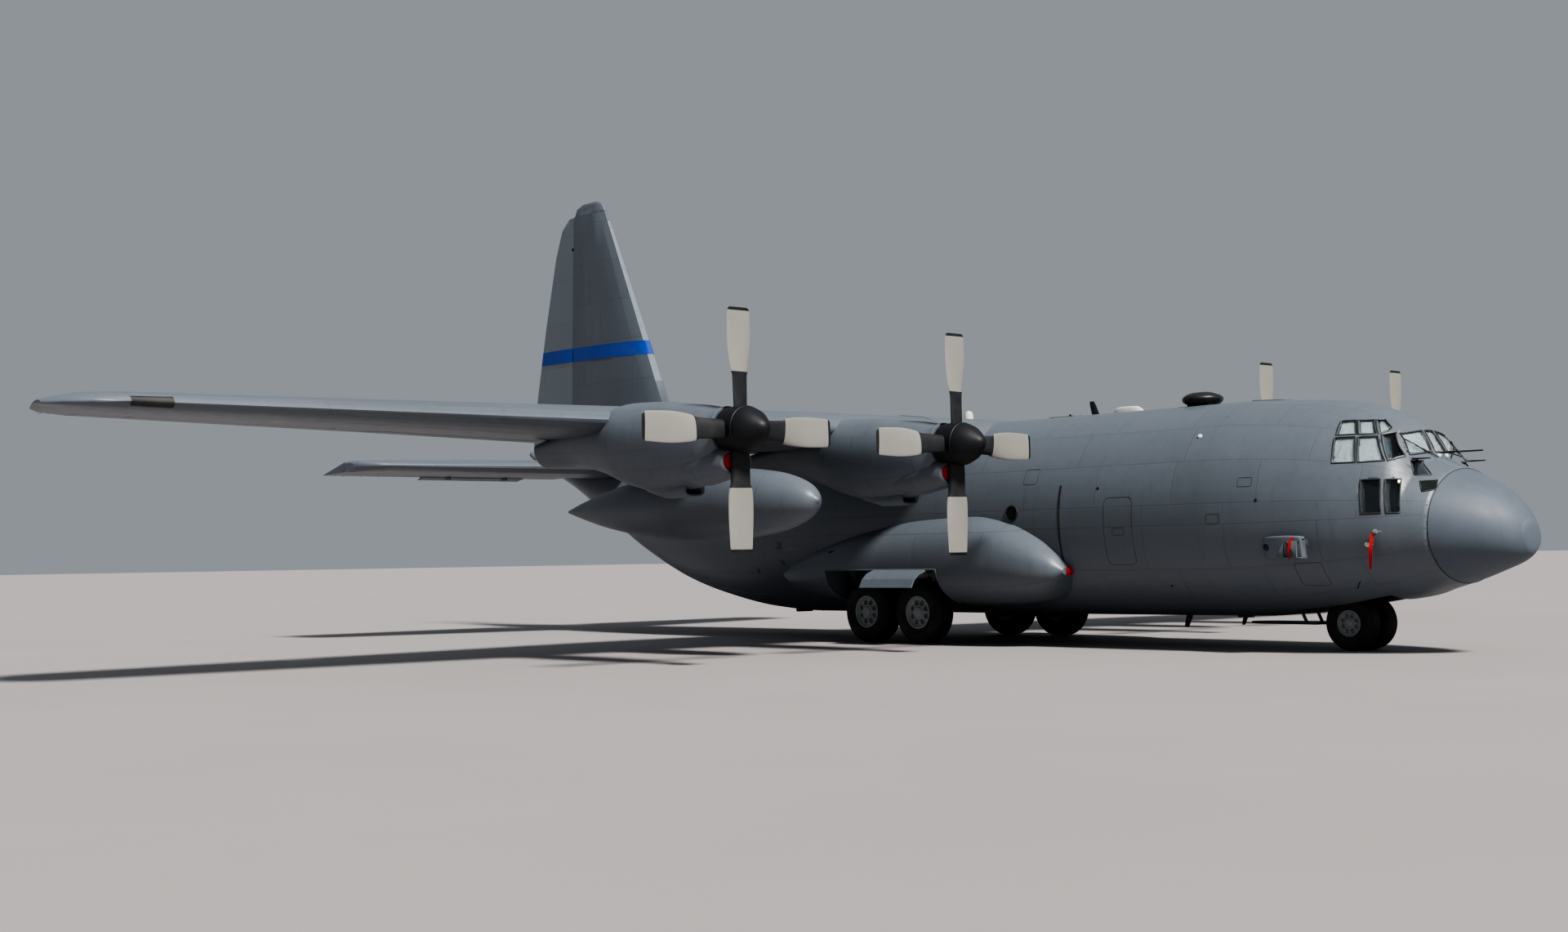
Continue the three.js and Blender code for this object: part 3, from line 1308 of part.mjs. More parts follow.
const aircraft = new THREE.Group();
function place(name, solid, material) {
  const mesh = new THREE.Mesh(geometryOf(solid), material);
  mesh.name = name;
  aircraft.add(mesh);
}

place("nose_radome", hullBetween(0, RADOME_END, outerHull), RADOME_PAINT);
place("flight_deck_shell", flightDeckShell().add(joined(SIDES.map(([, side]) => scoop(side)))), GREY_PAINT);
place("forward_fuselage_shell", forwardShell(), GREY_PAINT);
place("centre_fuselage_shell", centreShell(), GREY_PAINT);
place("aft_fuselage_shell", aftShell(), GREY_PAINT);
place("tail_cone", hullBetween(TAIL_CONE_START, LENGTH).subtract(clearOfTailplane()), GREY_PAINT);
place("cargo_floor", cargoFloor(), DARK_METAL);
place("flight_deck_interior", flightDeck(), DARK_PAINT);
place("flight_deck_glazing", glazing(), GLASS);
place("crew_door", crewDoor(), GREY_PAINT);
place("cargo_ramp", ramp(), GREY_PAINT);
place("cargo_door", cargoDoor(), GREY_PAINT);
place("wing_centre", wingCentre(), GREY_PAINT);
place("tailplane", tailplane(), GREY_PAINT);
place("fin", fin(), GREY_PAINT);
place("rudder", rudder(), PALE_PAINT);
place("nose_gear_leg", noseGearLeg(), STEEL);
place("nose_gear_fork", noseFork(), STEEL);
place("nose_wheels", noseWheels(), TYRE_RUBBER);
place("nose_gear_door", noseGearDoor(), GREY_PAINT);
place("roof_aerial_dome", roofDome(), BLACK_PLASTIC);
for (const [name, side] of SIDES) {
  place("paratroop_door_" + name, paratroopDoor(side), GREY_PAINT);
  place("wing_" + name, wingOuter(side), GREY_PAINT);
  for (const part of Object.keys(FLAP_SPANS)) {
    place("flap_" + part + "_" + name, flap(part, side), GREY_PAINT);
  }
  place("aileron_" + name, aileron(side), GREY_PAINT);
  place("elevator_" + name, elevator(side), GREY_PAINT);
  place("fuel_tank_" + name, fuelTank(side), GREY_PAINT);
  place("sponson_" + name, sponson(side), GREY_PAINT);
  place("main_gear_door_" + name, mainGearDoor(side), PALE_PAINT);
  place("main_gear_leg_" + name, mainGearLeg(side), STEEL);
  for (const where of Object.keys(MAIN_WHEEL_STATIONS))
    place("main_wheel_" + where + "_" + name, mainWheel(where, side), TYRE_RUBBER);
}
for (const engine of ENGINES) {
  place("nacelle_" + engine.number, nacelle(engine), GREY_PAINT);
  place("engine_" + engine.number, engineBlock(engine), DARK_METAL);
  place("propeller_" + engine.number, propeller(engine), BLADE_PAINT);
}
aircraft.scale.setScalar(MODEL_SCALE * MILLIMETRES);

export default aircraft;
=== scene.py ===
"""Finished looks of a parked four-engine transport aircraft at half scale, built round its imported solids.

Sizes of the aircraft are given full size, in metres, and point() turns them into the model's frame:
stations run aft from the nose tip, y runs to the left wing tip and z up from the ground.
"""
import json
import math

import bmesh
import bpy
from bpy.props import FloatProperty, FloatVectorProperty, PointerProperty
from mathutils import Matrix, Vector, noise

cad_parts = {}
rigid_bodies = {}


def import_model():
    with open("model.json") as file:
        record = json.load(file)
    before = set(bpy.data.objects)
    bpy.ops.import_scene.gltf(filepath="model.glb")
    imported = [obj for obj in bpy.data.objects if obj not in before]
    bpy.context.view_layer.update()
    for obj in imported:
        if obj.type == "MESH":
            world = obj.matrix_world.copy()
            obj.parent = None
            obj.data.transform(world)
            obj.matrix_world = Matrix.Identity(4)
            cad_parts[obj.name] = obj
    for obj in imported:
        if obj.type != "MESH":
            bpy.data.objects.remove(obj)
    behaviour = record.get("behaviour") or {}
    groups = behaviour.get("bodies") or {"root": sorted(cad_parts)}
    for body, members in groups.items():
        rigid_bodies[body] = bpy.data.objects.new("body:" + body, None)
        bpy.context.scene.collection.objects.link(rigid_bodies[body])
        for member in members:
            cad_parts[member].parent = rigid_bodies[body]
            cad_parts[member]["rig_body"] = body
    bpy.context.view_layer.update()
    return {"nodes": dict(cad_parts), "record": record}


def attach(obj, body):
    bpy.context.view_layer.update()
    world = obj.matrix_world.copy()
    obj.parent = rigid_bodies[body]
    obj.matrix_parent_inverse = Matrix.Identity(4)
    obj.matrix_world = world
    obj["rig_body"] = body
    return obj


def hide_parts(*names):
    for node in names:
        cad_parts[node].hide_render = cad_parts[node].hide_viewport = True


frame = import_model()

bl_info = {
    "name": "Parked Transport Aircraft",
    "version": (1, 0, 0),
    "blender": (4, 5, 0),
    "location": "View3D > Sidebar > Aircraft",
    "description": "Dresses the solids of a half-scale transport aircraft with finished surfaces and "
                   "small parts",
    "category": "Add Mesh",
}

LENGTH = 29.79
SCALE = 0.5
SIDES = (("left", 1), ("right", -1))
ENGINES = {1: (10.17, 3.98), 2: (4.94, 3.88), 3: (-4.94, 3.88), 4: (-10.17, 3.98)}
PROPELLER_STATION = 8.62


def point(station, y, z):
    """A place on the full-size aircraft, in the model's frame."""
    return Vector(((LENGTH / 2 - station) * SCALE, y * SCALE, z * SCALE))


def linear(*rgb):
    """A colour picked as 0 to 255 values on a screen, as the linear values that shaders take."""
    def one(value):
        value /= 255
        return value / 12.92 if value <= 0.04045 else ((value + 0.055) / 1.055) ** 2.4
    return tuple(one(value) for value in rgb)


def paint_setting(name, description, *rgb):
    """A colour that the panel's user can change."""
    return FloatVectorProperty(name=name, description=description, subtype="COLOR", size=3, min=0, max=1,
                               default=linear(*rgb))


class PaintColours(bpy.types.PropertyGroup):
    """Colours of the finishes."""
    body: paint_setting("Body grey", "Paint of the fuselage and wings", 98, 105, 113)
    nose: paint_setting("Nose grey", "Paint of the radome", 90, 98, 108)
    pale: paint_setting("Pale grey", "Rudder and the fin's front edge", 122, 131, 138)
    blade: paint_setting("Blade grey", "Propeller blades", 138, 136, 131)
    band: paint_setting("Band blue", "Band across the fin", 28, 70, 160)
    warning: paint_setting("Warning red", "Streamers and plugs", 190, 30, 28)
    floor: paint_setting("Floor", "Pale floor of the stage", 154, 149, 149)


class StageSizes(bpy.types.PropertyGroup):
    """Camera and light."""
    lens: FloatProperty(name="Lens", description="Focal length on a 36 mm sensor", default=0.04449,
                        unit="LENGTH", subtype="DISTANCE")
    key: FloatProperty(name="Key light", description="Strength of the high front light", default=5.2, min=0)
    sky: FloatProperty(name="Fill light", description="Strength of the even light all round", default=0.29,
                       min=0)
    floor_half: FloatProperty(name="Floor", description="Half the width of the floor", default=400,
                              unit="LENGTH", subtype="DISTANCE")


# Ways of building a mesh

def turns(count, shift=0.0):
    """Angles that part a full turn evenly."""
    return [2 * math.pi * (k + shift) / count for k in range(count)]


def signed_power(value, power):
    return math.copysign(abs(value) ** power, value)


def linked(name, data):
    """A new object in the scene."""
    piece = bpy.data.objects.new(name, data)
    bpy.context.scene.collection.objects.link(piece)
    return piece


def deselect():
    if bpy.context.object and bpy.context.object.mode != "OBJECT":
        bpy.ops.object.mode_set(mode="OBJECT")
    bpy.ops.object.select_all(action="DESELECT")


def active(piece):
    deselect()
    piece.select_set(True)
    bpy.context.view_layer.objects.active = piece
    return piece


def new_mesh(name, points, faces):
    """An object from points and faces in the model's frame."""
    mesh = bpy.data.meshes.new(name)
    mesh.from_pydata([tuple(p) for p in points], [], faces)
    return active(linked(name, mesh))


def in_edit(piece, *steps):
    """Runs edit mode steps on the whole of a piece."""
    active(piece)
    bpy.ops.object.mode_set(mode="EDIT")
    bpy.ops.mesh.select_all(action="SELECT")
    for step in steps:
        step()
    bpy.ops.object.mode_set(mode="OBJECT")
    return piece


def weld():
    bpy.ops.mesh.remove_doubles(threshold=0.0001)


def outward():
    bpy.ops.mesh.normals_make_consistent(inside=False)


def loft(name, rings, caps=True):
    """A skin through rings that have the same number of points."""
    count = len(rings[0])
    points = [p for ring in rings for p in ring]
    faces = []
    for start in range(0, len(points) - count, count):
        for i in range(count):
            a, b = start + i, start + (i + 1) % count
            faces.append((a, b, b + count, a + count))
    if caps:
        faces.append(tuple(range(count))[::-1])
        faces.append(tuple(range(len(points) - count, len(points))))
    return in_edit(new_mesh(name, points, faces), weld, outward)


def add_modifier(piece, kind, **values):
    """Adds a modifier and applies it."""
    active(piece)
    modifier = piece.modifiers.new(kind.lower(), kind)
    for key, value in values.items():
        setattr(modifier, key, value)
    bpy.ops.object.modifier_apply(modifier=modifier.name)
    return piece


def cut(piece, cutter):
    """Takes one part out of another. The cutter is used up."""
    add_modifier(piece, "BOOLEAN", object=cutter, operation="DIFFERENCE", solver="EXACT")
    bpy.data.objects.remove(cutter)
    return piece


def join(name, pieces):
    deselect()
    for piece in pieces:
        piece.select_set(True)
    bpy.context.view_layer.objects.active = pieces[0]
    if len(pieces) > 1:
        bpy.ops.object.join()
    pieces[0].name = pieces[0].data.name = name
    return pieces[0]


def turned_to(start, end):
    """The placing that lays a part made along Z between two places."""
    start, end = Vector(start), Vector(end)
    axis = end - start
    turn = axis.to_track_quat("Z", "Y").to_matrix().to_4x4()
    return Matrix.Translation((start + end) / 2) @ turn, axis.length


def soften(piece, width, segments=2):
    """Rounds the edges of a part that turn by more than 35 degrees."""
    return add_modifier(piece, "BEVEL", width=width, segments=segments, limit_method="ANGLE",
                        angle_limit=math.radians(35))


def bar(name, start, end, radius, end_radius=None, sides=20, bevel=0.0):
    """A round bar or cone between two places, its rims rounded."""
    place, length = turned_to(start, end)
    deselect()
    bpy.ops.mesh.primitive_cone_add(vertices=sides, radius1=radius, depth=length,
                                    radius2=radius if end_radius is None else end_radius)
    piece = bpy.context.object
    piece.name = piece.data.name = name
    piece.data.transform(place)
    return soften(piece, bevel) if bevel else piece


def brick(name, low, high, bevel, segments=2):
    """A block between two corners, its edges rounded."""
    deselect()
    bpy.ops.mesh.primitive_cube_add(size=1)
    piece = bpy.context.object
    piece.name = piece.data.name = name
    low, high = Vector(low), Vector(high)
    size = Vector(tuple(abs(b - a) for a, b in zip(low, high)))
    piece.data.transform(Matrix.Translation((low + high) / 2) @ Matrix.Diagonal((*size, 1)))
    return soften(piece, bevel, segments) if bevel else piece


def slab(name, outline, depth, bevel):
    """A flat outline pushed through along a direction."""
    count = len(outline)
    depth = Vector(depth)
    points = [Vector(p) for p in outline] + [Vector(p) + depth for p in outline]
    faces = [tuple(range(count)), tuple(range(count, 2 * count))[::-1]]
    faces += [(i, (i + 1) % count, (i + 1) % count + count, i + count) for i in range(count)]
    return soften(in_edit(new_mesh(name, points, faces), outward), bevel)


def tube(name, path, radius, sides=8, closed=False):
    """A round bar along a path."""
    rings = []
    count = len(path)
    for i, place in enumerate(path):
        ahead = path[(i + 1) % count] if closed or i < count - 1 else place
        behind = path[i - 1] if closed or i > 0 else place
        along = (Vector(ahead) - Vector(behind)).normalized()
        side = along.cross(Vector((0, 0, 1)))
        side = side.normalized() if side.length > 0.05 else Vector((0, 1, 0))
        up = side.cross(along)
        rings.append([Vector(place) + radius * (math.cos(a) * side + math.sin(a) * up)
                      for a in turns(sides)])
    if closed:
        rings.append(rings[0])
    return loft(name, rings, caps=not closed)


def turn_profile(name, profile, centre, axis="X", sides=48, closed=False):
    """A turned part. profile holds (distance along the axis, radius) pairs round a centre."""
    centre = Vector(centre)
    rings = []
    for along, radius in profile:
        ring = []
        for a in turns(sides):
            u, v = max(radius, 1e-5) * math.cos(a), max(radius, 1e-5) * math.sin(a)
            ring.append(centre + Vector({"X": (along, u, v), "Y": (u, along, v), "Z": (u, v, along)}[axis]))
        rings.append(ring)
    if closed:
        rings.append(rings[0])
    return loft(name, rings, caps=not closed)


def repeated(name, piece, places):
    """Copies of a small part at places, as one mesh. The part itself is used up."""
    mesh = piece.data
    copies = []
    for place in places:
        copies.append(linked(name, mesh.copy()))
        copies[-1].data.transform(Matrix.Translation(place))
    bpy.data.objects.remove(piece)
    return join(name, copies)


def mirrored(piece, name):
    """The same part on the other side of the aircraft."""
    copy = linked(name, piece.data.copy())
    copy.data.name = name
    copy.data.transform(Matrix.Diagonal((1, -1, 1, 1)))
    copy.data.flip_normals()
    return copy


def finish(piece, body, slot, material, replaces=(), angle=32):
    """Gives a piece its finish, its body and its slot, and hides the solids it stands for."""
    piece.data.materials.append(MATERIALS[material])
    active(piece)
    bpy.ops.object.shade_smooth_by_angle(angle=math.radians(angle))
    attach(piece, body)
    if replaces:
        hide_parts(*replaces)
    return piece


def add(name, parts, slot, material, body="airframe", **more):
    """Joins parts into one finished piece."""
    return finish(join(name, parts), body, slot, material, **more)


# Shared parts of the materials

def group(name, inputs, outputs):
    """A node group without nodes, and its input and output. Each input's default says what it holds."""
    tree = bpy.data.node_groups.new(name, "ShaderNodeTree")
    for label, value in inputs.items():
        kind = "Vector" if value is None else "Color" if isinstance(value, tuple) else "Float"
        socket = tree.interface.new_socket(name=label, in_out="INPUT", socket_type="NodeSocket" + kind)
        if value is not None:
            socket.default_value = value
    for label in outputs:
        kind = "Color" if label == "Colour" else "Float"
        tree.interface.new_socket(name=label, in_out="OUTPUT", socket_type="NodeSocket" + kind)
    return tree, tree.nodes.new("NodeGroupInput"), tree.nodes.new("NodeGroupOutput")


class Wires:
    """Short ways to add and link nodes in one tree."""

    def __init__(self, tree):
        self.tree = tree

    def node(self, kind, links=(), **values):
        node = self.tree.nodes.new(kind)
        for key, value in values.items():
            setattr(node, key, value)
        for socket, value in dict(links).items():
            self.feed(node.inputs[socket], value)
        return node

    def feed(self, socket, value):
        if isinstance(value, bpy.types.NodeSocket):
            self.tree.links.new(value, socket)
        else:
            socket.default_value = value

    def fill(self, node, **values):
        for key, value in values.items():
            self.feed(node.inputs[key.replace("_", " ")], value)

    def math(self, operation, a, b):
        return self.node("ShaderNodeMath", {0: a, 1: b}, operation=operation).outputs[0]

    def plus(self, a, b):
        return self.math("ADD", a, b)

    def minus(self, a, b):
        return self.math("SUBTRACT", a, b)

    def times(self, a, b):
        return self.math("MULTIPLY", a, b)

    def mix(self, share, a, b, blend="MIX"):
        node = self.node("ShaderNodeMix", data_type="RGBA", blend_type=blend)
        for socket, value in ((node.inputs[0], share), (node.inputs[6], a), (node.inputs[7], b)):
            self.feed(socket, value)
        return node.outputs[2]

    def noise(self, vector, scale, detail=3.0, roughness=0.55):
        node = self.node("ShaderNodeTexNoise",
                         {"Vector": vector, "Scale": scale, "Detail": detail, "Roughness": roughness})
        return node.outputs["Fac"]

    def stretch(self, vector, scale):
        return self.node("ShaderNodeMapping", {"Vector": vector, "Scale": scale}).outputs[0]

    def grey(self, value):
        return self.node("ShaderNodeCombineXYZ", {0: value, 1: value, 2: value}).outputs[0]

    def bump(self, shader, height, distance, strength):
        bump = self.node("ShaderNodeBump", {"Height": height, "Distance": distance, "Strength": strength})
        self.fill(shader, Normal=bump.outputs[0])

    def ramp(self, value, low, high):
        return self.node("ShaderNodeMapRange", {"Value": value, "From Min": low, "From Max": high},
                         interpolation_type="SMOOTHSTEP").outputs[0]


def weather_group():
    """Sun-bleached patches, run-off streaks, and blotchy darkening low down that is partly soiling and partly
    painted shade of the underside, over a base colour.
    """
    tree, given, out = group(
        "weathering",
        {"Vector": None, "Colour": (0.2, 0.2, 0.2, 1), "Patches": 0.1, "Streaks": 0.15, "Shade And Dirt": 0.2,
         "Shade And Dirt Height": 0.6},
        ("Colour", "Roughness", "Height"))
    w = Wires(tree)
    place, colour = given.outputs["Vector"], given.outputs["Colour"]
    broad = w.noise(place, 0.9, 4)
    fine = w.noise(place, 9.0, 5, 0.65)
    patches = w.times(w.minus(w.plus(broad, fine), 1.0), given.outputs["Patches"])
    lit = w.plus(patches, 1.0)
    runs = w.noise(w.stretch(place, (7.0, 7.0, 0.7)), 2.2, 4, 0.6)
    runs = w.times(w.ramp(runs, 0.5, 0.85), given.outputs["Streaks"])
    # Darker towards the bottom in blotches: partly soiling, partly painted shade of the underside.
    height = w.node("ShaderNodeSeparateXYZ", {0: place}).outputs[2]
    low = w.ramp(height, given.outputs["Shade And Dirt Height"], 0.0)
    blotch = w.ramp(w.noise(place, 3.0, 5, 0.7), 0.3, 0.75)
    shade_and_dirt = w.times(w.times(low, blotch), given.outputs["Shade And Dirt"])
    shade = w.minus(w.minus(lit, runs), shade_and_dirt)
    w.fill(out, Colour=w.mix(1.0, colour, w.grey(shade), "MULTIPLY"),
           Roughness=w.plus(w.times(fine, 0.22), w.times(shade_and_dirt, 0.3)), Height=w.times(fine, 0.25))
    return tree


def seam_group(name, across):
    """Sheet seams, rivet rows and each sheet's slight tint. across says which way the sheets lie."""
    tree, given, out = group(
        name,
        {"Vector": None, "Sheet Length": 0.9, "Sheet Height": 0.45, "Seam": 0.006, "Centre Y": 0.0,
         "Centre Z": 1.25},
        ("Seam", "Tint", "Rivets"))
    w = Wires(tree)
    x, y, z = w.node("ShaderNodeSeparateXYZ", {0: given.outputs["Vector"]}).outputs
    if across == "round":
        turn = w.math("ARCTAN2", w.minus(z, given.outputs["Centre Z"]),
                      w.minus(y, given.outputs["Centre Y"]))
        second = w.times(turn, 1.1)
    else:
        second = {"flat": y, "side": z}[across]
    flat = w.node("ShaderNodeCombineXYZ", {0: x, 1: second, 2: 0.0}).outputs[0]

    def sheets(colours, mortar, width, blur):
        return w.node("ShaderNodeTexBrick",
                      {"Vector": flat, "Color1": (0, 0, 0, 1), "Color2": colours, "Mortar": mortar,
                       "Scale": 1.0, "Mortar Size": width, "Mortar Smooth": blur,
                       "Brick Width": given.outputs["Sheet Length"],
                       "Row Height": given.outputs["Sheet Height"]},
                      offset=0.37, offset_frequency=2, squash=1.4, squash_frequency=3)

    bricks = sheets((1, 1, 1, 1), (0.5, 0.5, 0.5, 1), given.outputs["Seam"], 0.3)
    near = sheets((0, 0, 0, 1), (1, 1, 1, 1), 0.022, 0.0).outputs["Fac"]
    dots = w.node("ShaderNodeTexVoronoi", {"Vector": flat, "Scale": 28.0, "Randomness": 0.0})
    rivets = w.math("LESS_THAN", dots.outputs["Distance"], 0.16)
    w.fill(out, Seam=bricks.outputs["Fac"], Tint=bricks.outputs["Color"], Rivets=w.times(rivets, near))
    return tree


def grain_group():
    """Fine grain for rubber, cast metal and plastic."""
    tree, given, out = group(
        "grain", {"Vector": None, "Colour": (0.1, 0.1, 0.1, 1), "Scale": 60.0, "Dust": 0.2},
        ("Colour", "Roughness", "Height"))
    w = Wires(tree)
    place = given.outputs["Vector"]
    fine = w.noise(place, given.outputs["Scale"], 6, 0.65)
    broad = w.noise(place, 4.0, 4, 0.6)
    dusty = w.times(w.ramp(broad, 0.4, 0.8), given.outputs["Dust"])
    w.fill(out, Colour=w.mix(dusty, given.outputs["Colour"], (0.36, 0.33, 0.29, 1)),
           Roughness=w.times(w.plus(fine, broad), 0.2), Height=fine)
    return tree


GROUPS = {}
MATERIALS = {}


def start_material(name, roughness, metallic, **values):
    """A new material with a Principled shader whose plain numbers are set on its own sockets."""
    material = bpy.data.materials.new(name)
    material.use_nodes = True
    w = Wires(material.node_tree)
    shader = material.node_tree.nodes["Principled BSDF"]
    shader.inputs["Roughness"].default_value = roughness
    shader.inputs["Metallic"].default_value = metallic
    for key, value in values.items():
        shader.inputs[key.replace("_", " ").title().replace("Ior", "IOR")].default_value = value
    MATERIALS[name] = material
    place = w.node("ShaderNodeTexCoord").outputs["Object"]
    return w, shader, place


# Grained finishes. Columns: colour, roughness, metallic, fineness of the grain, dust.
GRAINED = {
    "black_rubber": ((0.012, 0.012, 0.013), 0.75, 0.0, 90, 0.12),
    "black_plastic": ((0.015, 0.016, 0.018), 0.4, 0.0, 120, 0.03),
    "white_paint": ((0.62, 0.63, 0.62), 0.45, 0.0, 80, 0.3),
    "leg_paint": ((0.5, 0.51, 0.5), 0.45, 0.0, 80, 0.25),
    "bay_paint": ((0.16, 0.17, 0.17), 0.6, 0.0, 40, 0.2),
    "dark_metal": ((0.06, 0.06, 0.065), 0.5, 0.7, 60, 0.15),
    "bright_metal": ((0.62, 0.63, 0.64), 0.3, 0.9, 120, 0.05),
    "burnt_metal": ((0.13, 0.1, 0.08), 0.45, 0.8, 40, 0.1),
    "cuff_black": ((0.014, 0.016, 0.02), 0.6, 0.0, 90, 0.05),
    "wheel_paint": (linear(140, 147, 148), 0.5, 0.0, 70, 0.2),
    "cabin_paint": ((0.07, 0.08, 0.085), 0.6, 0.0, 60, 0.1),
    "shade_foil": ((0.86, 0.89, 0.92), 0.34, 0.35, 14, 0.0, 0.02),
    "trim_black": ((0.02, 0.021, 0.023), 0.55, 0.0, 80, 0.1),
    # Near black. On the portholes and chin panes it is painted shade of the unlit inside behind the glass,
    # and on the scoop outlets painted shade in the hole.
    "near_black_and_shade": ((0.012, 0.016, 0.017), 0.25, 0.0, 20, 0.02),
    "hold_paint": ((0.3, 0.32, 0.31), 0.55, 0.0, 40, 0.12),
    "floor_metal": ((0.24, 0.25, 0.25), 0.5, 0.5, 50, 0.3),
    "lamp_glass": ((0.75, 0.77, 0.78), 0.2, 0.0, 60, 0.0),
}


def painted(name, colour, roughness=0.42, across="round", sheet=(0.9, 0.42), centre=(0, 1.25), patches=0.1,
            streaks=0.12, shade_and_grime=0.25, seams=1.0, tint=0.05):
    """Paint on riveted sheet."""
    w, shader, place = start_material(name, roughness, 0.0, specular_ior_level=0.42)
    # The blotchy darkening low down from the shared group is partly soiling and partly painted shade of the
    # underside.
    weather = w.node(
        "ShaderNodeGroup", {"Vector": place, "Colour": (*colour, 1), "Patches": patches, "Streaks": streaks,
                            "Shade And Dirt": shade_and_grime, "Shade And Dirt Height": 0.6}, node_tree=GROUPS["weather"])
    seam = w.node(
        "ShaderNodeGroup", {"Vector": place, "Sheet Length": sheet[0], "Sheet Height": sheet[1],
                            "Centre Y": centre[0], "Centre Z": centre[1]}, node_tree=GROUPS[across])
    tinted = w.plus(w.times(w.minus(seam.outputs["Tint"], 0.5), tint), 1.0)
    lines = w.minus(tinted, w.times(seam.outputs["Seam"], 0.11 * seams))
    lines = w.minus(lines, w.times(seam.outputs["Rivets"], 0.1 * seams))
    w.fill(shader, Base_Color=w.mix(1.0, weather.outputs["Colour"], w.grey(lines), "MULTIPLY"),
           Roughness=w.plus(weather.outputs["Roughness"], roughness - 0.1))
    dip = w.times(w.plus(seam.outputs["Seam"], seam.outputs["Rivets"]), -1.2 * seams)
    height = w.plus(w.times(weather.outputs["Height"], 0.25), dip)
    w.bump(shader, height, 0.0015, 0.5)


def grained(name, colour, roughness, metallic, scale, dust, bump=0.0006):
    """Plain painted, rubber or cast surfaces with a fine grain."""
    w, shader, place = start_material(name, roughness, metallic)
    grain = w.node(
        "ShaderNodeGroup", {"Vector": place, "Colour": (*colour, 1), "Scale": scale, "Dust": dust},
        node_tree=GROUPS["grain"])
    w.fill(shader, Base_Color=grain.outputs["Colour"],
           Roughness=w.plus(grain.outputs["Roughness"], roughness - 0.2))
    w.bump(shader, grain.outputs["Height"], bump, 0.6)


class AIRCRAFT_OT_materials(bpy.types.Operator):
    """Builds the shared node groups and every finish"""
    bl_idname = "aircraft.materials"
    bl_label = "Finishes"

    def execute(self, context):
        colours = context.scene.aircraft_colours
        GROUPS.update(weather=weather_group(), grain=grain_group())
        for across in ("round", "flat", "side"):
            GROUPS[across] = seam_group("sheets_" + across, across)
        body = tuple(colours.body)
        bare = {"seams": 0.0, "tint": 0.0}
        painted("fuselage_paint", body)
        painted("nose_paint", tuple(colours.nose), roughness=0.56, **bare)
        painted("wing_paint", body, across="flat", sheet=(0.75, 1.6))
        painted("fin_paint", body, across="side", sheet=(0.8, 0.55))
        painted("rudder_paint", tuple(colours.pale), across="side", sheet=(3.0, 0.6))
        painted("door_paint", body, sheet=(1.2, 0.6))
        painted("tank_paint", body, sheet=(0.8, 0.7), centre=(0, 1.43), seams=0.8)
        painted("blade_paint", tuple(colours.blade), patches=0.08, streaks=0.05, shade_and_grime=0.0, **bare)
        painted("spinner_black", linear(24, 26, 31), patches=0.12, streaks=0.08, shade_and_grime=0.0, roughness=0.55,
                **bare)
        for number, (y, z) in ENGINES.items():
            painted(f"nacelle_paint_{number}", body, sheet=(0.55, 0.5), centre=(y * SCALE, z * SCALE),
                    patches=0.14)
        for name, values in GRAINED.items():
            grained(name, *values)
        grained("red_cloth", tuple(colours.warning), 0.7, 0.0, 200, 0.05)
        grained("band_blue", tuple(colours.band), 0.42, 0.0, 60, 0.06)
        glass()
        return {"FINISHED"}


def glass():
    """Tinted window glass with a faint film of dust."""
    w, shader, place = start_material("window_glass", 0.06, 0.0, transmission_weight=1.0, ior=1.45)
    film = w.ramp(w.noise(place, 5.0, 5, 0.7), 0.45, 0.9)
    w.fill(shader, Base_Color=w.mix(film, (0.86, 0.92, 0.92, 1), (0.74, 0.8, 0.8, 1)),
           Roughness=w.plus(w.times(film, 0.08), 0.02))


# The fuselage. Columns: station, top z, bottom z, half width, z of the widest place, squareness below it.
HULL = (
    (0.0, 2.08, 1.84, 0.12, 1.96, 2.0),
    (0.06, 2.3, 1.7, 0.33, 1.98, 2.0),
    (0.25, 2.58, 1.56, 0.61, 2.02, 2.0),
    (0.6, 2.88, 1.42, 0.94, 2.08, 2.0),
    (1.2, 3.19, 1.21, 1.33, 2.17, 2.05),
    (1.62, 3.39, 1.09, 1.52, 2.23, 2.1),
    (1.95, 3.93, 0.98, 1.66, 2.26, 2.12),
    (2.4, 4.22, 0.91, 1.79, 2.3, 2.15),
    (2.9, 4.41, 0.82, 1.92, 2.36, 2.2),
    (3.5, 4.53, 0.74, 2.03, 2.42, 2.25),
    (4.4, 4.61, 0.65, 2.13, 2.47, 2.3),
    (5.3, 4.66, 0.6, 2.17, 2.49, 2.35),
    (17.4, 4.66, 0.58, 2.17, 2.49, 2.35),
    (18.6, 4.66, 0.66, 2.15, 2.52, 2.5),
    (19.9, 4.66, 0.9, 2.1, 2.6, 2.7),
    (21.1, 4.66, 1.22, 2.0, 2.75, 2.8),
    (22.7, 4.66, 1.88, 1.8, 3.0, 2.8),
    (24.9, 4.66, 2.98, 1.4, 3.6, 2.6),
    (26.6, 4.68, 3.72, 1.02, 4.1, 2.3),
    (28.2, 4.74, 4.24, 0.6, 4.45, 2.0),
    (29.3, 4.86, 4.58, 0.25, 4.72, 2.0),
    (LENGTH, 4.95, 4.79, 0.08, 4.87, 2.0),
)
WINDSCREEN_FOOT = 1.62
RADOME_TIP, RADOME_REAR = 0.06, 1.1986


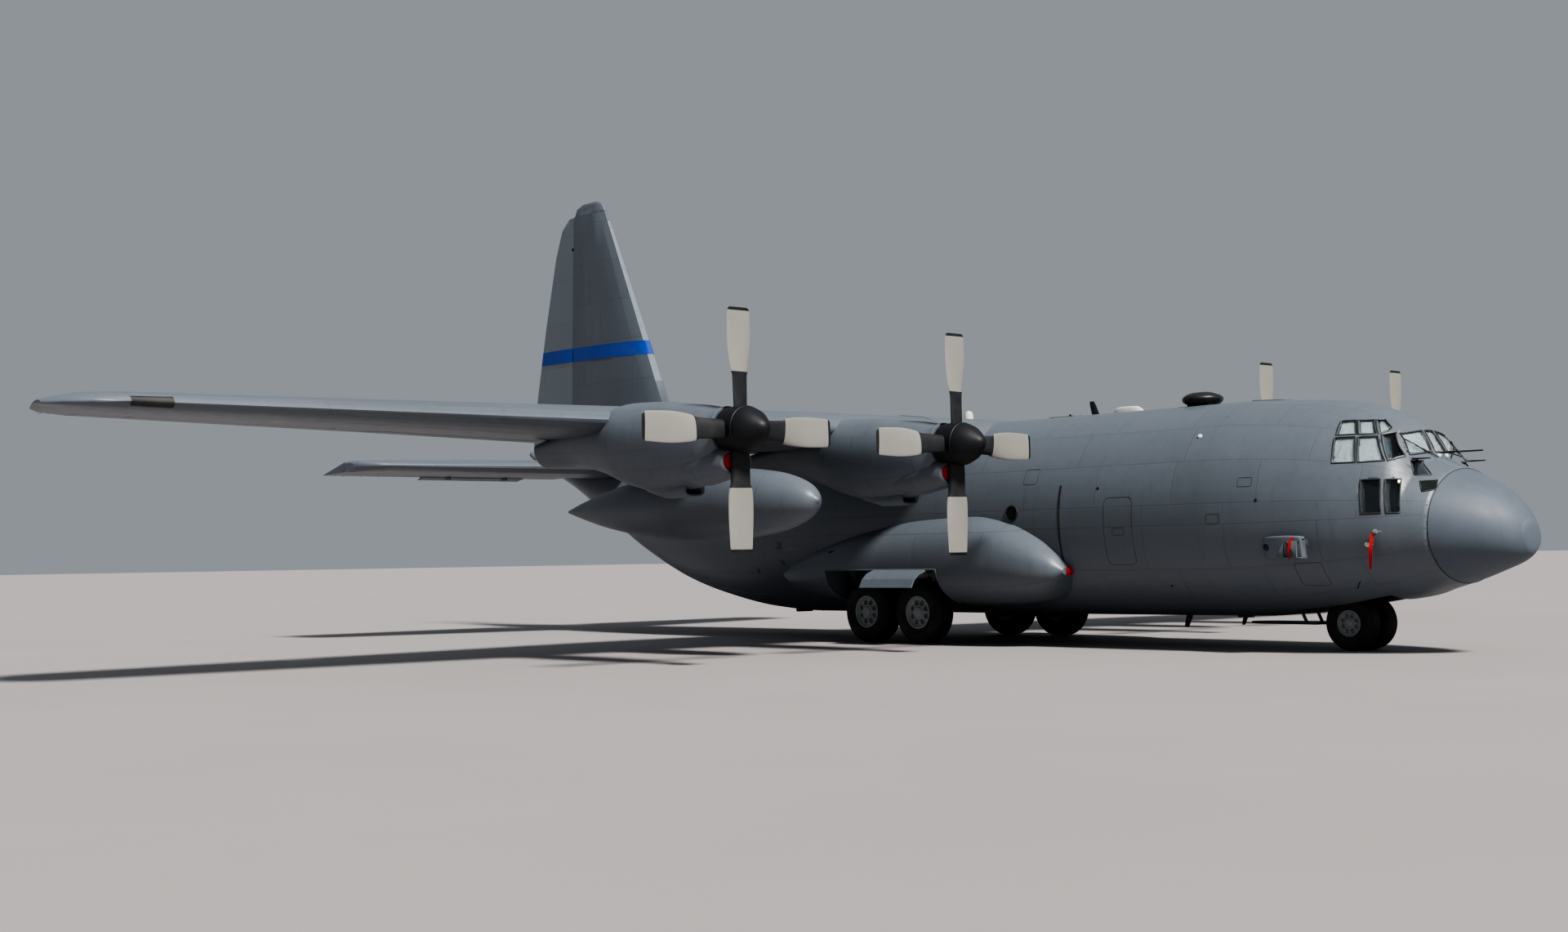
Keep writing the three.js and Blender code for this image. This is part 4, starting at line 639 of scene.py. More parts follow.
def smooth_curve(places, values, wanted):
    """A curve through the values that doesn't overshoot them."""
    i = max(0, min(len(places) - 2, sum(p <= wanted for p in places) - 1))
    slopes = [(values[k + 1] - values[k]) / (places[k + 1] - places[k]) for k in range(len(places) - 1)]

    def tangent(k):
        if k in (0, len(places) - 1):
            return slopes[min(k, len(slopes) - 1)]
        before, after = slopes[k - 1], slopes[k]
        return 0 if before * after <= 0 else 2 * before * after / (before + after)

    step = places[i + 1] - places[i]
    t = (wanted - places[i]) / step
    return ((2 * t ** 3 - 3 * t ** 2 + 1) * values[i] + (t ** 3 - 2 * t ** 2 + t) * step * tangent(i)
            + (3 * t ** 2 - 2 * t ** 3) * values[i + 1] + (t ** 3 - t ** 2) * step * tangent(i + 1))


def table_row(rows, wanted):
    """The other columns of a table at a value of its first column."""
    places, *columns = zip(*rows)
    return [smooth_curve(places, column, wanted) for column in columns]


def hull_row(station):
    """Top, bottom, half width, middle and squareness of the fuselage at a station."""
    ahead = station < WINDSCREEN_FOOT
    rows = [row for row in HULL if (row[0] <= WINDSCREEN_FOOT if ahead else row[0] >= WINDSCREEN_FOOT)]
    return table_row([(math.sqrt(row[0]), *row[1:]) for row in rows], math.sqrt(station))


def hull_point(station, turn, proud=0.0):
    """A point of the skin. turn is in radians, from the left side up and over."""
    top, bottom, half, middle, square = hull_row(station)
    upper = math.sin(turn) >= 0
    share = 1.0 if upper else 2 / square
    height = (top - middle if upper else middle - bottom) + proud
    return (station, (half + proud) * signed_power(math.cos(turn), share),
            middle + height * signed_power(math.sin(turn), share))


def hull_y(station, z, proud=0.0):
    """Half width of the skin at a height."""
    top, bottom, half, middle, square = hull_row(station)
    upper = z >= middle
    share = abs(z - middle) / ((top - middle if upper else middle - bottom) + proud)
    power = 2 if upper else square
    return (half + proud) * max(0.0, 1 - share ** power) ** (1 / power)


def hull_station(y, z, low=0.9, high=3.2):
    """Station near the windscreen where the skin is abs(y) wide at a height."""
    for _ in range(40):
        middle = (low + high) / 2
        low, high = (middle, high) if hull_y(middle, z) < abs(y) else (low, middle)
    return high


def skin_radius(station, y, z):
    """Distance of the smooth skin from the section's middle, towards a place, and that place's own."""
    top, bottom, half, middle, square = hull_row(station)
    reach = math.hypot(y, z - middle)
    if reach < 0.001:
        return 1.0, reach, middle
    across, up = abs(y) / reach, abs(z - middle) / reach
    upper = z >= middle
    power = 2 if upper else square
    height = top - middle if upper else middle - bottom
    return ((across / half) ** power + (up / height) ** power) ** (-1 / power), reach, middle


# Skin of the fuselage: how far from the smooth shape a corner may lie and still belong to the outside
OUTSIDE = (-0.03, 0.085)
LOOSE = 0.00005
SKIN_PLANES = 64
HULL_NODES = ("flight_deck_shell", "forward_fuselage_shell", "centre_fuselage_shell", "aft_fuselage_shell",
              "tail_cone", "crew_door", "paratroop_door_left", "paratroop_door_right", "cargo_ramp",
              "cargo_door")
RINGS = ([1.2 + 0.08 * i for i in range(52)] + [5.4 + 0.4 * i for i in range(30)]
         + [17.4 + 0.2 * i for i in range(62)])


def full_size(place):
    """Station, y and z of a place in the model's frame."""
    return LENGTH / 2 - place[0] / SCALE, place[1] / SCALE, place[2] / SCALE


def on_hull(station):
    """The nearest station that the fuselage has."""
    return min(max(station, 0.01), LENGTH)


def outer_gap(place):
    """How far inside the smooth skin a place lies."""
    station, y, z = full_size(place)
    skin, reach, _ = skin_radius(on_hull(station), y, z)
    return skin - reach


def solid_copy(node, name):
    """A copy of a solid without its finish."""
    mesh = frame["nodes"][node].data.copy()
    mesh.materials.clear()
    return linked(name, mesh)


def meshed(piece):
    """A piece's mesh as one that bmesh can change, its loose corners merged."""
    work = bmesh.new()
    work.from_mesh(piece.data)
    bmesh.ops.remove_doubles(work, verts=work.verts, dist=LOOSE)
    return work


def stored(work, piece):
    work.to_mesh(piece.data)
    work.free()
    return piece


def round_skin(node):
    """A copy of a fuselage solid whose flat outer facets are cut finely and laid on the smooth skin."""
    piece = solid_copy(node, node + "_skin")
    work = meshed(piece)

    def outside():
        near = {v for v in work.verts if OUTSIDE[0] < outer_gap(v.co) < OUTSIDE[1]}
        faces = []
        for face in work.faces:
            if all(v in near for v in face.verts):
                station, y, z = full_size(face.calc_center_median())
                middle = hull_row(on_hull(station))[3]
                out = Vector((0, y, z - middle)).normalized()
                if face.normal.dot(out) > 0.3:
                    faces.append(face)
        return faces

    stations = [full_size(v.co)[0] for v in work.verts]
    planes = [(point(s, 0, 0), Vector((1, 0, 0))) for s in RINGS if min(stations) < s < max(stations)]
    mean = hull_row((min(stations) + max(stations)) / 2)[3]
    planes += [(point(0, 0, mean), Vector((0, math.cos(a), math.sin(a))))
               for a in (math.pi * (k + 0.5) / SKIN_PLANES for k in range(SKIN_PLANES))]
    faces = outside()
    geometry = list({e for f in faces for e in f.edges}) + faces
    for place, normal in planes:
        geometry = bmesh.ops.bisect_plane(work, geom=geometry, dist=0.0002, plane_co=place,
                                          plane_no=normal)["geom"]
        geometry = [one for one in geometry if not isinstance(one, bmesh.types.BMVert)]
    moved = {v for f in outside() for v in f.verts}
    for vertex in moved:
        station, y, z = full_size(vertex.co)
        skin, reach, middle = skin_radius(on_hull(station), y, z)
        vertex.co = point(station, y * skin / reach, middle + (z - middle) * skin / reach)
    return finish(stored(work, piece), body_name(node), slot_of(node), node_finish(node), replaces=(node,),
                  angle=30)


class AIRCRAFT_OT_hull(bpy.types.Operator):
    """Rounds the skin of the fuselage, its doors, the radome and the tail cone"""
    bl_idname = "aircraft.hull"
    bl_label = "Fuselage skin"

    def execute(self, context):
        for node in HULL_NODES:
            round_skin(node)
        self.radome()
        return {"FINISHED"}

    def radome(self):
        rows = [0.0001, 0.004, 0.015, 0.035, RADOME_TIP]
        rows += [RADOME_TIP + (RADOME_REAR - RADOME_TIP) * (i / 34) ** 1.4 for i in range(1, 35)]
        rings = []
        for station in rows:
            share = max(0.004, math.sqrt(max(0.0, 1 - (1 - min(1.0, station / RADOME_TIP)) ** 2)))
            behind = max(station, RADOME_TIP)
            middle = hull_row(behind)[3]
            places = [hull_point(behind, a) for a in turns(96)]
            rings.append([point(station, y * share, middle + (z - middle) * share) for _, y, z in places])
        finish(loft("nose_radome_skin", rings), "airframe", "radome", "nose_paint", replaces=("nose_radome",))


# Nacelle skin. Columns: station, top over the hub, bottom under the hub, half width.
NACELLE = (
    (9.0, 0.4, 0.74, 0.42), (9.35, 0.46, 0.84, 0.52), (9.95, 0.53, 0.96, 0.58), (10.5, 0.6, 1.0, 0.6),
    (11.5, 0.64, 0.84, 0.6), (12.3, 0.5, 0.58, 0.54), (13.2, 0.3, 0.42, 0.44), (14.2, 0.1, 0.4, 0.34),
)
# Its openings. Columns: station, half width, half height.
CHIN_DROP = 0.53
CHIN = ((8.74, 0.27, 0.155), (8.715, 0.285, 0.17), (8.705, 0.305, 0.19), (8.715, 0.325, 0.21),
        (8.76, 0.345, 0.232), (8.9, 0.37, 0.262), (9.1, 0.4, 0.3), (9.5, 0.45, 0.37), (10.0, 0.44, 0.36))
CHIN_HOLLOW = ((8.6, 0.27, 0.155), (8.76, 0.27, 0.155), (9.1, 0.25, 0.15), (9.3, 0.22, 0.14))
CHIN_PLUG = ((8.72, 0.24, 0.12), (8.73, 0.262, 0.147), (8.76, 0.268, 0.153), (9.0, 0.25, 0.145))
# The cooler scoop below. Columns: station, depth under the hub, half width, half height.
COOLER = ((9.86, 0.9, 0.2, 0.1), (9.84, 0.95, 0.215, 0.12), (10.1, 0.93, 0.24, 0.16),
          (10.5, 0.9, 0.25, 0.19), (10.95, 0.82, 0.22, 0.16), (11.4, 0.72, 0.12, 0.08))
COOLER_MOUTH = ((9.7, 0.985, 0.17, 0.06), (9.95, 0.975, 0.17, 0.06), (10.2, 0.95, 0.12, 0.04))
EXHAUST_STATION = 14.2
EXHAUST_DROP = 0.15


def nacelle_ring(station, y, z, grow=0.0):
    top, bottom, half = table_row(NACELLE, station)
    middle = (top - bottom) / 2 + 0.1
    ring = []
    for a in turns(64):
        height = top - middle if math.sin(a) >= 0 else middle + bottom
        ring.append(point(station, y + (half + grow) * math.cos(a),
                          z + middle + (height + grow) * math.sin(a)))
    return ring


def oval_ring(station, y, z, half, height, sides=48, square=2.4):
    """A ring across the aircraft. square 2 is an ellipse, and more is nearer to a rectangle."""
    return [point(station, y + half * signed_power(math.cos(a), 2 / square),
                  z + height * signed_power(math.sin(a), 2 / square)) for a in turns(sides)]


def chin_part(name, y, z, rows):
    return loft(name, [oval_ring(station, y, z - CHIN_DROP, half, height) for station, half, height in rows])


def cooler_part(name, y, z, rows):
    return loft(name, [oval_ring(station, y, z - down, half, height, 32, 3.0)
                       for station, down, half, height in rows])


class AIRCRAFT_OT_nacelles(bpy.types.Operator):
    """Makes the engine nacelles with their air intakes, cooler scoops and exhausts"""
    bl_idname = "aircraft.nacelles"
    bl_label = "Nacelles"

    def execute(self, context):
        for number, (y, z) in ENGINES.items():
            self.nacelle(number, y, z)
        return {"FINISHED"}

    def nacelle(self, number, y, z):
        node = f"nacelle_{number}"
        rings = [oval_ring(8.9, y, z, 0.405, 0.405, 64, 2.0), oval_ring(8.915, y, z, 0.415, 0.415, 64, 2.0)]
        rings += [nacelle_ring(9.0 + 5.2 * (i / 44), y, z) for i in range(45)]
        rings += [nacelle_ring(14.2, y, z, -0.03), nacelle_ring(13.6, y, z, -0.04)]
        skin = loft("nacelle_skin", rings)
        chin = cut(chin_part("chin", y, z, CHIN), chin_part("chin_hollow", y, z, CHIN_HOLLOW))
        scoop = cut(cooler_part("scoop", y, z, COOLER), cooler_part("outlet", y, z, COOLER_MOUTH))
        add(node + "_skin", [skin, chin, scoop], slot_of(node), node_finish(node), replaces=(node,), angle=40)
        outlet = point(EXHAUST_STATION, y, z - EXHAUST_DROP)
        pipe = turn_profile(
            f"exhaust_pipe_{number}",
            [(0.24, 0.088), (0.0, 0.092), (-0.034, 0.096), (-0.03, 0.1), (0.02, 0.105), (0.25, 0.1)],
            outlet, sides=40, closed=True)
        finish(pipe, "airframe", "dark_metal", "burnt_metal", angle=40)
        back = turn_profile(
            f"exhaust_back_{number}", [(0.2, 0.0), (0.2, 0.088), (0.215, 0.088), (0.215, 0.0)], outlet,
            sides=32)
        finish(back, "airframe", "dark_metal", "dark_metal")


# Propeller blade. Columns: radius, width, thickness, pitch in degrees.
BLADE = (
    (0.24, 0.3, 0.2, -20), (0.5, 0.33, 0.17, -16), (0.92, 0.36, 0.12, -12), (1.0, 0.44, 0.1, -11),
    (1.25, 0.5, 0.07, -6), (1.5, 0.52, 0.05, -2), (1.85, 0.5, 0.04, 0), (2.04, 0.475, 0.032, 0),
)
TIP_START, TIP_LENGTH = 1.98, 0.075
# Pieces of a blade. Columns: inner and outer radius, rings, how much it stands proud.
BLADE_PARTS = {"blades": (0.95, 2.05, 26, 0.0), "cuffs": (0.24, 0.97, 14, 0.012),
               "tips": (2.0, 2.053, 6, 0.003)}
# Spinner, in the model's size. Columns: distance behind the hub, radius.
SPINNER = (
    (0.13, 0.0), (0.13, 0.17), (0.12, 0.19), (0.1, 0.196), (0.0, 0.198), (-0.1, 0.196), (-0.105, 0.19),
    (-0.11, 0.19), (-0.13, 0.186), (-0.2, 0.158), (-0.26, 0.115), (-0.31, 0.07), (-0.335, 0.045),
    (-0.345, 0.02), (-0.348, 0.0),
)


class AIRCRAFT_OT_propellers(bpy.types.Operator):
    """Makes the propellers: spinner, black cuffs, pale blades and dark tip marks"""
    bl_idname = "aircraft.propellers"
    bl_label = "Propellers"

    def execute(self, context):
        for number, (y, z) in ENGINES.items():
            self.propeller(number, y, z)
        return {"FINISHED"}

    def blade_rings(self, low, high, steps, grow):
        rings = []
        for i in range(steps + 1):
            radius = low + (high - low) * i / steps
            width, thick, pitch = table_row(BLADE, min(radius, BLADE[-1][0]))
            if radius > TIP_START:
                squeeze = math.sqrt(max(0.0, 1 - ((radius - TIP_START) / TIP_LENGTH) ** 2))
                width, thick = width * (0.72 + 0.28 * squeeze), thick * max(0.25, squeeze)
            tilt = math.radians(pitch)
            ring = []
            for a in turns(24):
                across = 0.5 * math.cos(a)
                deep = 0.5 * math.sin(a) * (0.85 + 0.3 * math.cos(a))
                side = across * (width + grow)
                fore = deep * (thick + grow)
                ring.append((side * math.sin(tilt) + fore * math.cos(tilt),
                             side * math.cos(tilt) - fore * math.sin(tilt), radius))
            rings.append(ring)
        return rings

    def propeller(self, number, y, z):
        hub = point(PROPELLER_STATION, y, z)
        parts = {kind: [] for kind in BLADE_PARTS}
        for turn in (0, 90, 180, 270):
            spin = (Matrix.Translation(hub) @ Matrix.Rotation(math.radians(turn), 4, "X")
                    @ Matrix.Scale(SCALE, 4))
            for kind, sizes in BLADE_PARTS.items():
                piece = loft("blade", self.blade_rings(*sizes))
                piece.data.transform(spin)
                parts[kind].append(piece)
        spinner = turn_profile("spinner", [(-along, radius) for along, radius in SPINNER], hub, sides=64)
        name = f"propeller_{number}"
        add(name + "_blades", parts["blades"], "blades", "blade_paint", name, replaces=(name,))
        add(name + "_cuffs", parts["cuffs"], "black_plastic", "cuff_black", name)
        add(name + "_tips", parts["tips"], "black_plastic", "black_plastic", name)
        finish(spinner, name, "grey_paint", "spinner_black", angle=40)


# Fuel tank. Columns: station, radius.
TANK = (
    (9.6, 0.06), (9.72, 0.22), (10.1, 0.42), (10.8, 0.58), (11.8, 0.66), (13.2, 0.66), (14.6, 0.56),
    (15.8, 0.38), (16.7, 0.18), (17.28, 0.03),
)
TANK_Y, TANK_Z = 7.55, 2.86
TANK_NOSE, TANK_LENGTH = 9.6, 7.68


class AIRCRAFT_OT_tanks(bpy.types.Operator):
    """Makes the two fuel tanks under the wings, with their pylons and seams"""
    bl_idname = "aircraft.tanks"
    bl_label = "Fuel tanks"

    def execute(self, context):
        rows = [(math.sqrt(station - 9.55), radius) for station, radius in TANK]
        profile = [(0.02, 0.0), (0.012, 0.018)]
        for i in range(61):
            station = TANK_NOSE + TANK_LENGTH * (i / 60) ** 1.5
            radius, = table_row(rows, math.sqrt(station - 9.55))
            profile.append(((TANK_NOSE - station) * SCALE, radius * SCALE))
        for name, side in SIDES:
            node = f"fuel_tank_{name}"
            tank = turn_profile(node + "_skin", profile, point(TANK_NOSE, side * TANK_Y, TANK_Z), sides=64)
            pylon = loft("pylon", [self.pylon_ring(side, z) for z in (3.2, 3.5, 4.0, 4.42)])
            add(node + "_skin", [tank, pylon], "grey_paint", "tank_paint", replaces=(node,), angle=40)
        return {"FINISHED"}

    def pylon_ring(self, side, z):
        middle = 13.15 if z > 3.45 else 13.0
        return [point(middle - 1.53 * math.cos(a),
                      side * TANK_Y + 0.13 * math.sin(a) * (0.75 + 0.25 * math.cos(a)), z) for a in turns(40)]


# Fairings of the main landing gear. Columns: station, top z, bottom z, outermost y.
FAIRING = (
    (8.46, 1.62, 1.36, 2.2), (8.68, 1.92, 1.12, 2.4), (9.15, 2.26, 0.92, 2.6), (9.9, 2.56, 0.83, 2.74),
    (10.8, 2.7, 0.8, 2.8), (12.2, 2.66, 0.8, 2.8), (14.0, 2.42, 0.82, 2.76), (15.4, 2.08, 0.92, 2.62),
    (16.2, 1.8, 1.08, 2.42), (16.6, 1.62, 1.3, 2.2),
)
FAIRING_MIDDLE = 1.4
FAIRING_UP = 0.85
BAY_FRONT, BAY_REAR, BAY_INNER, BAY_OUTER, BAY_TOP, BAY_SIDE_TOP = 11.3, 14.66, 1.56, 2.62, 1.96, 1.55
BAY_FLOOR = 0.2
BAY_SHIFT = 0.052


def fairing_point(station, turn, proud=0.0):
    """A point on the left fairing. turn is in radians from its outermost line, up and over."""
    top, bottom, out = table_row(FAIRING, station)
    return (station, FAIRING_MIDDLE + (out - FAIRING_MIDDLE + proud) * signed_power(math.cos(turn), 0.8),
            (top + bottom) / 2 + ((top - bottom) / 2 + proud) * signed_power(math.sin(turn), FAIRING_UP))


def fairing_turn(station, z):
    """The turn at which the fairing's skin is z high."""
    top, bottom, _ = table_row(FAIRING, station)
    up = (z - (top + bottom) / 2) / ((top - bottom) / 2)
    return math.copysign(math.asin(min(1.0, abs(up) ** (1 / FAIRING_UP))), up)


class AIRCRAFT_OT_fairings(bpy.types.Operator):
    """Makes the landing gear fairings with their open wheel bays"""
    bl_idname = "aircraft.fairings"
    bl_label = "Landing gear fairings"

    def execute(self, context):
        stations = [8.46 + 0.5 * (i / 14) ** 1.6 for i in range(15)] + [9.0 + 7.0 * i / 50 for i in range(50)]
        stations += [16.0 + 0.6 * (i / 10) for i in range(11)]
        rings = [[point(*fairing_point(station, a)) for a in turns(80)] for station in stations]
        middle = sum(rings[0], Vector()) / len(rings[0])
        rings.insert(0, [middle + (p - middle) * 0.55 + Vector((0.006, 0, 0)) for p in rings[0]])
        body = loft("fairing", rings)
        hull = loft("hull_block", [[point(*hull_point(station, a, -0.02)) for a in turns(96)]
                                   for station in (5.4, 9.0, 13.0, 17.35)])
        for corner, other in (
            ((BAY_FRONT, BAY_INNER, BAY_FLOOR), (BAY_REAR, BAY_OUTER, BAY_TOP)),
            ((BAY_FRONT, BAY_INNER, BAY_FLOOR), (BAY_REAR, 3.2, BAY_SIDE_TOP)),
            ((BAY_FRONT - BAY_SHIFT, BAY_INNER - BAY_SHIFT, BAY_FLOOR),
             (BAY_REAR + BAY_SHIFT, 2.1, BAY_TOP + BAY_SHIFT)),
        ):
            cut(body, brick("bay", point(*corner), point(*other), 0))
        cut(body, hull)
        left = join("sponson_left_skin", [body, self.lip()])
        right = mirrored(left, "sponson_right_skin")
        for name, piece in (("left", left), ("right", right)):
            finish(piece, "airframe", "grey_paint", "fuselage_paint", replaces=(f"sponson_{name}",), angle=38)
        return {"FINISHED"}

    def lip(self):
        """The turned edge round the open side of the bay"""
        edge = [(BAY_FRONT, 0.86 + 0.07 * i) for i in range(10)]
        edge += [(BAY_FRONT + (BAY_REAR - BAY_FRONT) * i / 24, BAY_SIDE_TOP) for i in range(25)]
        edge += [(BAY_REAR, BAY_SIDE_TOP - 0.06 * i) for i in range(10)]
        return tube("bay_lip", [point(*fairing_point(station, fairing_turn(station, z), 0.004))
                                for station, z in edge], 0.008, 8)


MAIN_AXLES = {"front": 12.22, "rear": 13.74}
NOSE_AXLE, NOSE_AXLE_Z = 3.32, 0.495
# Wheels. Columns: name, station, y, z of the axle, tyre radius, tyre width, rim radius, face outwards.
WHEELS = tuple(
    (f"main_wheel_{where}_{name}", station, side * 2.17, 0.66, 0.66, 0.5, 0.335, side)
    for name, side in SIDES for where, station in MAIN_AXLES.items()
) + tuple(("nose_wheels", NOSE_AXLE, side * 0.28, NOSE_AXLE_Z, 0.495, 0.33, 0.235, side) for _, side in SIDES)
# Tyre. Columns: share of the half width, share of the radius.
SHOULDER = ((0.7, 0.972), (0.8, 0.95), (0.9, 0.905), (0.97, 0.85), (1.0, 0.78), (0.985, 0.7), (0.93, 0.62),
            (0.86, 0.57))
GROOVES = (-0.42, -0.15, 0.15, 0.42)
TREAD_HALF = 0.62
# Wheel disc. Columns: share of the tyre's half width, share of the rim's radius.
WHEEL_FACE = (
    (-0.84, 0.0), (-0.84, 0.96), (-0.8, 1.0), (0.8, 1.0), (0.86, 1.015), (0.875, 0.985), (0.86, 0.93),
    (0.7, 0.88), (0.62, 0.8), (0.6, 0.7), (0.64, 0.55), (0.74, 0.47), (0.79, 0.44), (0.8, 0.36),
    (0.88, 0.34), (0.93, 0.3), (0.955, 0.22), (0.96, 0.05), (0.96, 0.0),
)


def round_axle(centre, radius, out, angles):
    """Places in a circle round an axle, a length along it from the centre."""
    return [centre + Vector((radius * math.cos(a), out, radius * math.sin(a))) for a in angles]


class AIRCRAFT_OT_wheels(bpy.types.Operator):
    """Makes the tyres with their tread grooves, and the wheels with bolts and hub caps"""
    bl_idname = "aircraft.wheels"
    bl_label = "Wheels"

    def execute(self, context):
        nose_tyres, nose_rims = [], []
        for name, station, y, z, radius, width, rim, side in WHEELS:
            tyre, disc = self.wheel(name, station, y, z, radius, width, rim, side)
            if name == "nose_wheels":
                nose_tyres.append(tyre)
                nose_rims.append(disc)
                continue
            finish(tyre, name, "tyre", "black_rubber", replaces=(name,), angle=28)
            finish(disc, name, "strut", "wheel_paint", angle=35)
        axle = bar("nose_axle", point(NOSE_AXLE, -0.3, NOSE_AXLE_Z), point(NOSE_AXLE, 0.3, NOSE_AXLE_Z), 0.03,
                   sides=32, bevel=0.003)
        add("nose_tyres", nose_tyres, "tyre", "black_rubber", "nose_wheels", replaces=("nose_wheels",),
            angle=28)
        add("nose_rims", nose_rims + [axle], "strut", "wheel_paint", "nose_wheels", angle=35)
        return {"FINISHED"}

    def wheel(self, name, station, y, z, radius, width, rim, side):
        radius, half, rim = radius * SCALE, width * SCALE / 2, rim * SCALE
        centre = point(station, y, z)
        tread = []
        for i in range(81):
            along = -TREAD_HALF + 2 * TREAD_HALF * i / 80
            crown = radius * (1 - 0.018 * abs(along / TREAD_HALF) ** 2.4)
            deep = any(abs(along - groove) < 0.022 for groove in GROOVES)
            tread.append((along * half, crown - (0.006 if deep else 0)))
        side_wall = [(a * half, r * radius if r > 0.7 else rim + (r - 0.56) * radius * 0.9)
                     for a, r in SHOULDER]
        side_wall += [(0.8 * half, rim * 1.02), (0.78 * half, rim * 0.985)]
        profile = [(-a, r) for a, r in side_wall[::-1]] + tread + side_wall
        tyre = turn_profile(name + "_tyre", profile + [(0.0, rim * 0.97)], centre, "Y", 72, closed=True)
        face = [(side * a * half, r * rim) for a, r in WHEEL_FACE]
        disc = turn_profile(name + "_rim", face, centre, "Y", 64)
        bolt = bar("bolt", (0, 0, 0), (0, side * 0.006, 0), 0.0065, 0.005, sides=6)
        bolts = repeated("wheel_bolts", bolt, round_axle(centre, 0.7 * rim, side * 0.59 * half, turns(12)))
        bolt = bar("cap_bolt", (0, 0, 0), (0, side * 0.003, 0), 0.0035, 0.003, sides=6)
        caps = repeated("cap_bolts", bolt, round_axle(centre, 0.27 * rim, side * 0.93 * half, turns(6)))
        hole = bar("hole", (0, 0, 0), (0, side * 0.05, 0), 0.085 * rim * 2, sides=24)
        cut(disc, repeated("lightening_holes", hole,
                           round_axle(centre, 0.63 * rim, side * 0.4 * half, turns(8, 0.5))))
        return tyre, join(name + "_rim", [disc, bolts, caps])


# Flight deck windows. Side panes are (station, z) corners, front panes are (y, z) corners.
SIDE_PANES = (
    ("brow_1", ((2.96, 4.08), (2.75, 4.08), (2.59, 3.83), (2.9, 3.83)), True),
    ("brow_2", ((2.71, 4.08), (2.51, 4.08), (2.32, 3.83), (2.55, 3.83)), True),
    ("brow_3", ((2.47, 4.08), (2.37, 4.08), (2.19, 3.93), (2.2, 3.86), (2.28, 3.83)), True),
    ("side_1", ((2.9, 3.77), (2.59, 3.77), (2.43, 3.33), (2.79, 3.33)), True),
    ("side_2", ((2.54, 3.77), (2.27, 3.77), (2.0, 3.34), (2.38, 3.33)), True),
    ("side_3", ((2.22, 3.79), (2.08, 3.83), (1.8, 3.41), (1.95, 3.34)), False),
    ("low_1", ((2.27, 3.0), (1.97, 3.0), (1.9, 2.44), (2.2, 2.44)), False),
    ("low_2", ((1.9, 3.0), (1.71, 3.0), (1.62, 2.44), (1.81, 2.44)), False),
)
FRONT_PANES = (
    ("shield_centre", ((-0.17, 3.5), (0.17, 3.5), (0.13, 3.88), (-0.13, 3.88)), True),
    ("shield_side", ((-0.86, 3.44), (-0.28, 3.5), (-0.22, 3.88), (-0.73, 3.81)), True),
    ("chin_pane", ((-1.01, 3.08), (-0.84, 3.08), (-0.64, 3.33), (-0.9, 3.32)), False),
)


def grown(outline, by):
    """An outline whose corners all move outwards from its middle by the same length."""
    middle = sum((Vector(p) for p in outline), Vector((0, 0))) / len(outline)
    return [Vector(p) + (Vector(p) - middle).normalized() * by for p in outline]


def on_skin(place, front, side, proud):
    """Lays a corner of a pane on the skin."""
    if front:
        return point(hull_station(*place), *place) + Vector((proud * SCALE, 0, 0))
    return point(place[0], side * hull_y(*place, proud), place[1])


def split(work, place, normal, **more):
    """Cuts every face along a plane."""
    bmesh.ops.bisect_plane(work, geom=work.verts[:] + work.edges[:] + work.faces[:], dist=1e-5,
                           plane_co=place, plane_no=normal, **more)


def pane(name, outline, front, side, proud, thick, spacing=0.05):
    """A pane or sheet in the shape of an outline, laid on the skin and given a thickness inwards."""
    work = bmesh.new()
    work.faces.new([work.verts.new((p[0], p[1], 0)) for p in outline])
    for axis in (0, 1):
        low, high = min(p[axis] for p in outline), max(p[axis] for p in outline)
        steps = max(1, round((high - low) / spacing))
        normal = Vector((1 - axis, axis, 0))
        for i in range(1, steps):
            split(work, normal * (low + (high - low) * i / steps), normal)
    for vertex in work.verts:
        vertex.co = on_skin((vertex.co[0], vertex.co[1]), front, side, proud)
    bmesh.ops.recalc_face_normals(work, faces=work.faces)
    out = Vector((1, 0, 0.3)) if front else Vector((0.2, side, 0.2))
    if sum((f.normal * f.calc_area() for f in work.faces), Vector()).dot(out) < 0:
        bmesh.ops.reverse_faces(work, faces=work.faces)
    piece = stored(work, linked(name, bpy.data.meshes.new(name)))
    return add_modifier(piece, "SOLIDIFY", thickness=thick, offset=-1)


def seal(name, outline, front, side, proud, radius):
    """A rounded strip along the edge of a pane"""
    path = []
    for i, corner in enumerate(outline):
        after = outline[(i + 1) % len(outline)]
        steps = max(2, round((Vector(after) - Vector(corner)).length / 0.06))
        for k in range(steps):
            path.append(on_skin(tuple(Vector(corner).lerp(Vector(after), k / steps)), front, side, proud))
    return tube(name, path, radius, 6, closed=True)


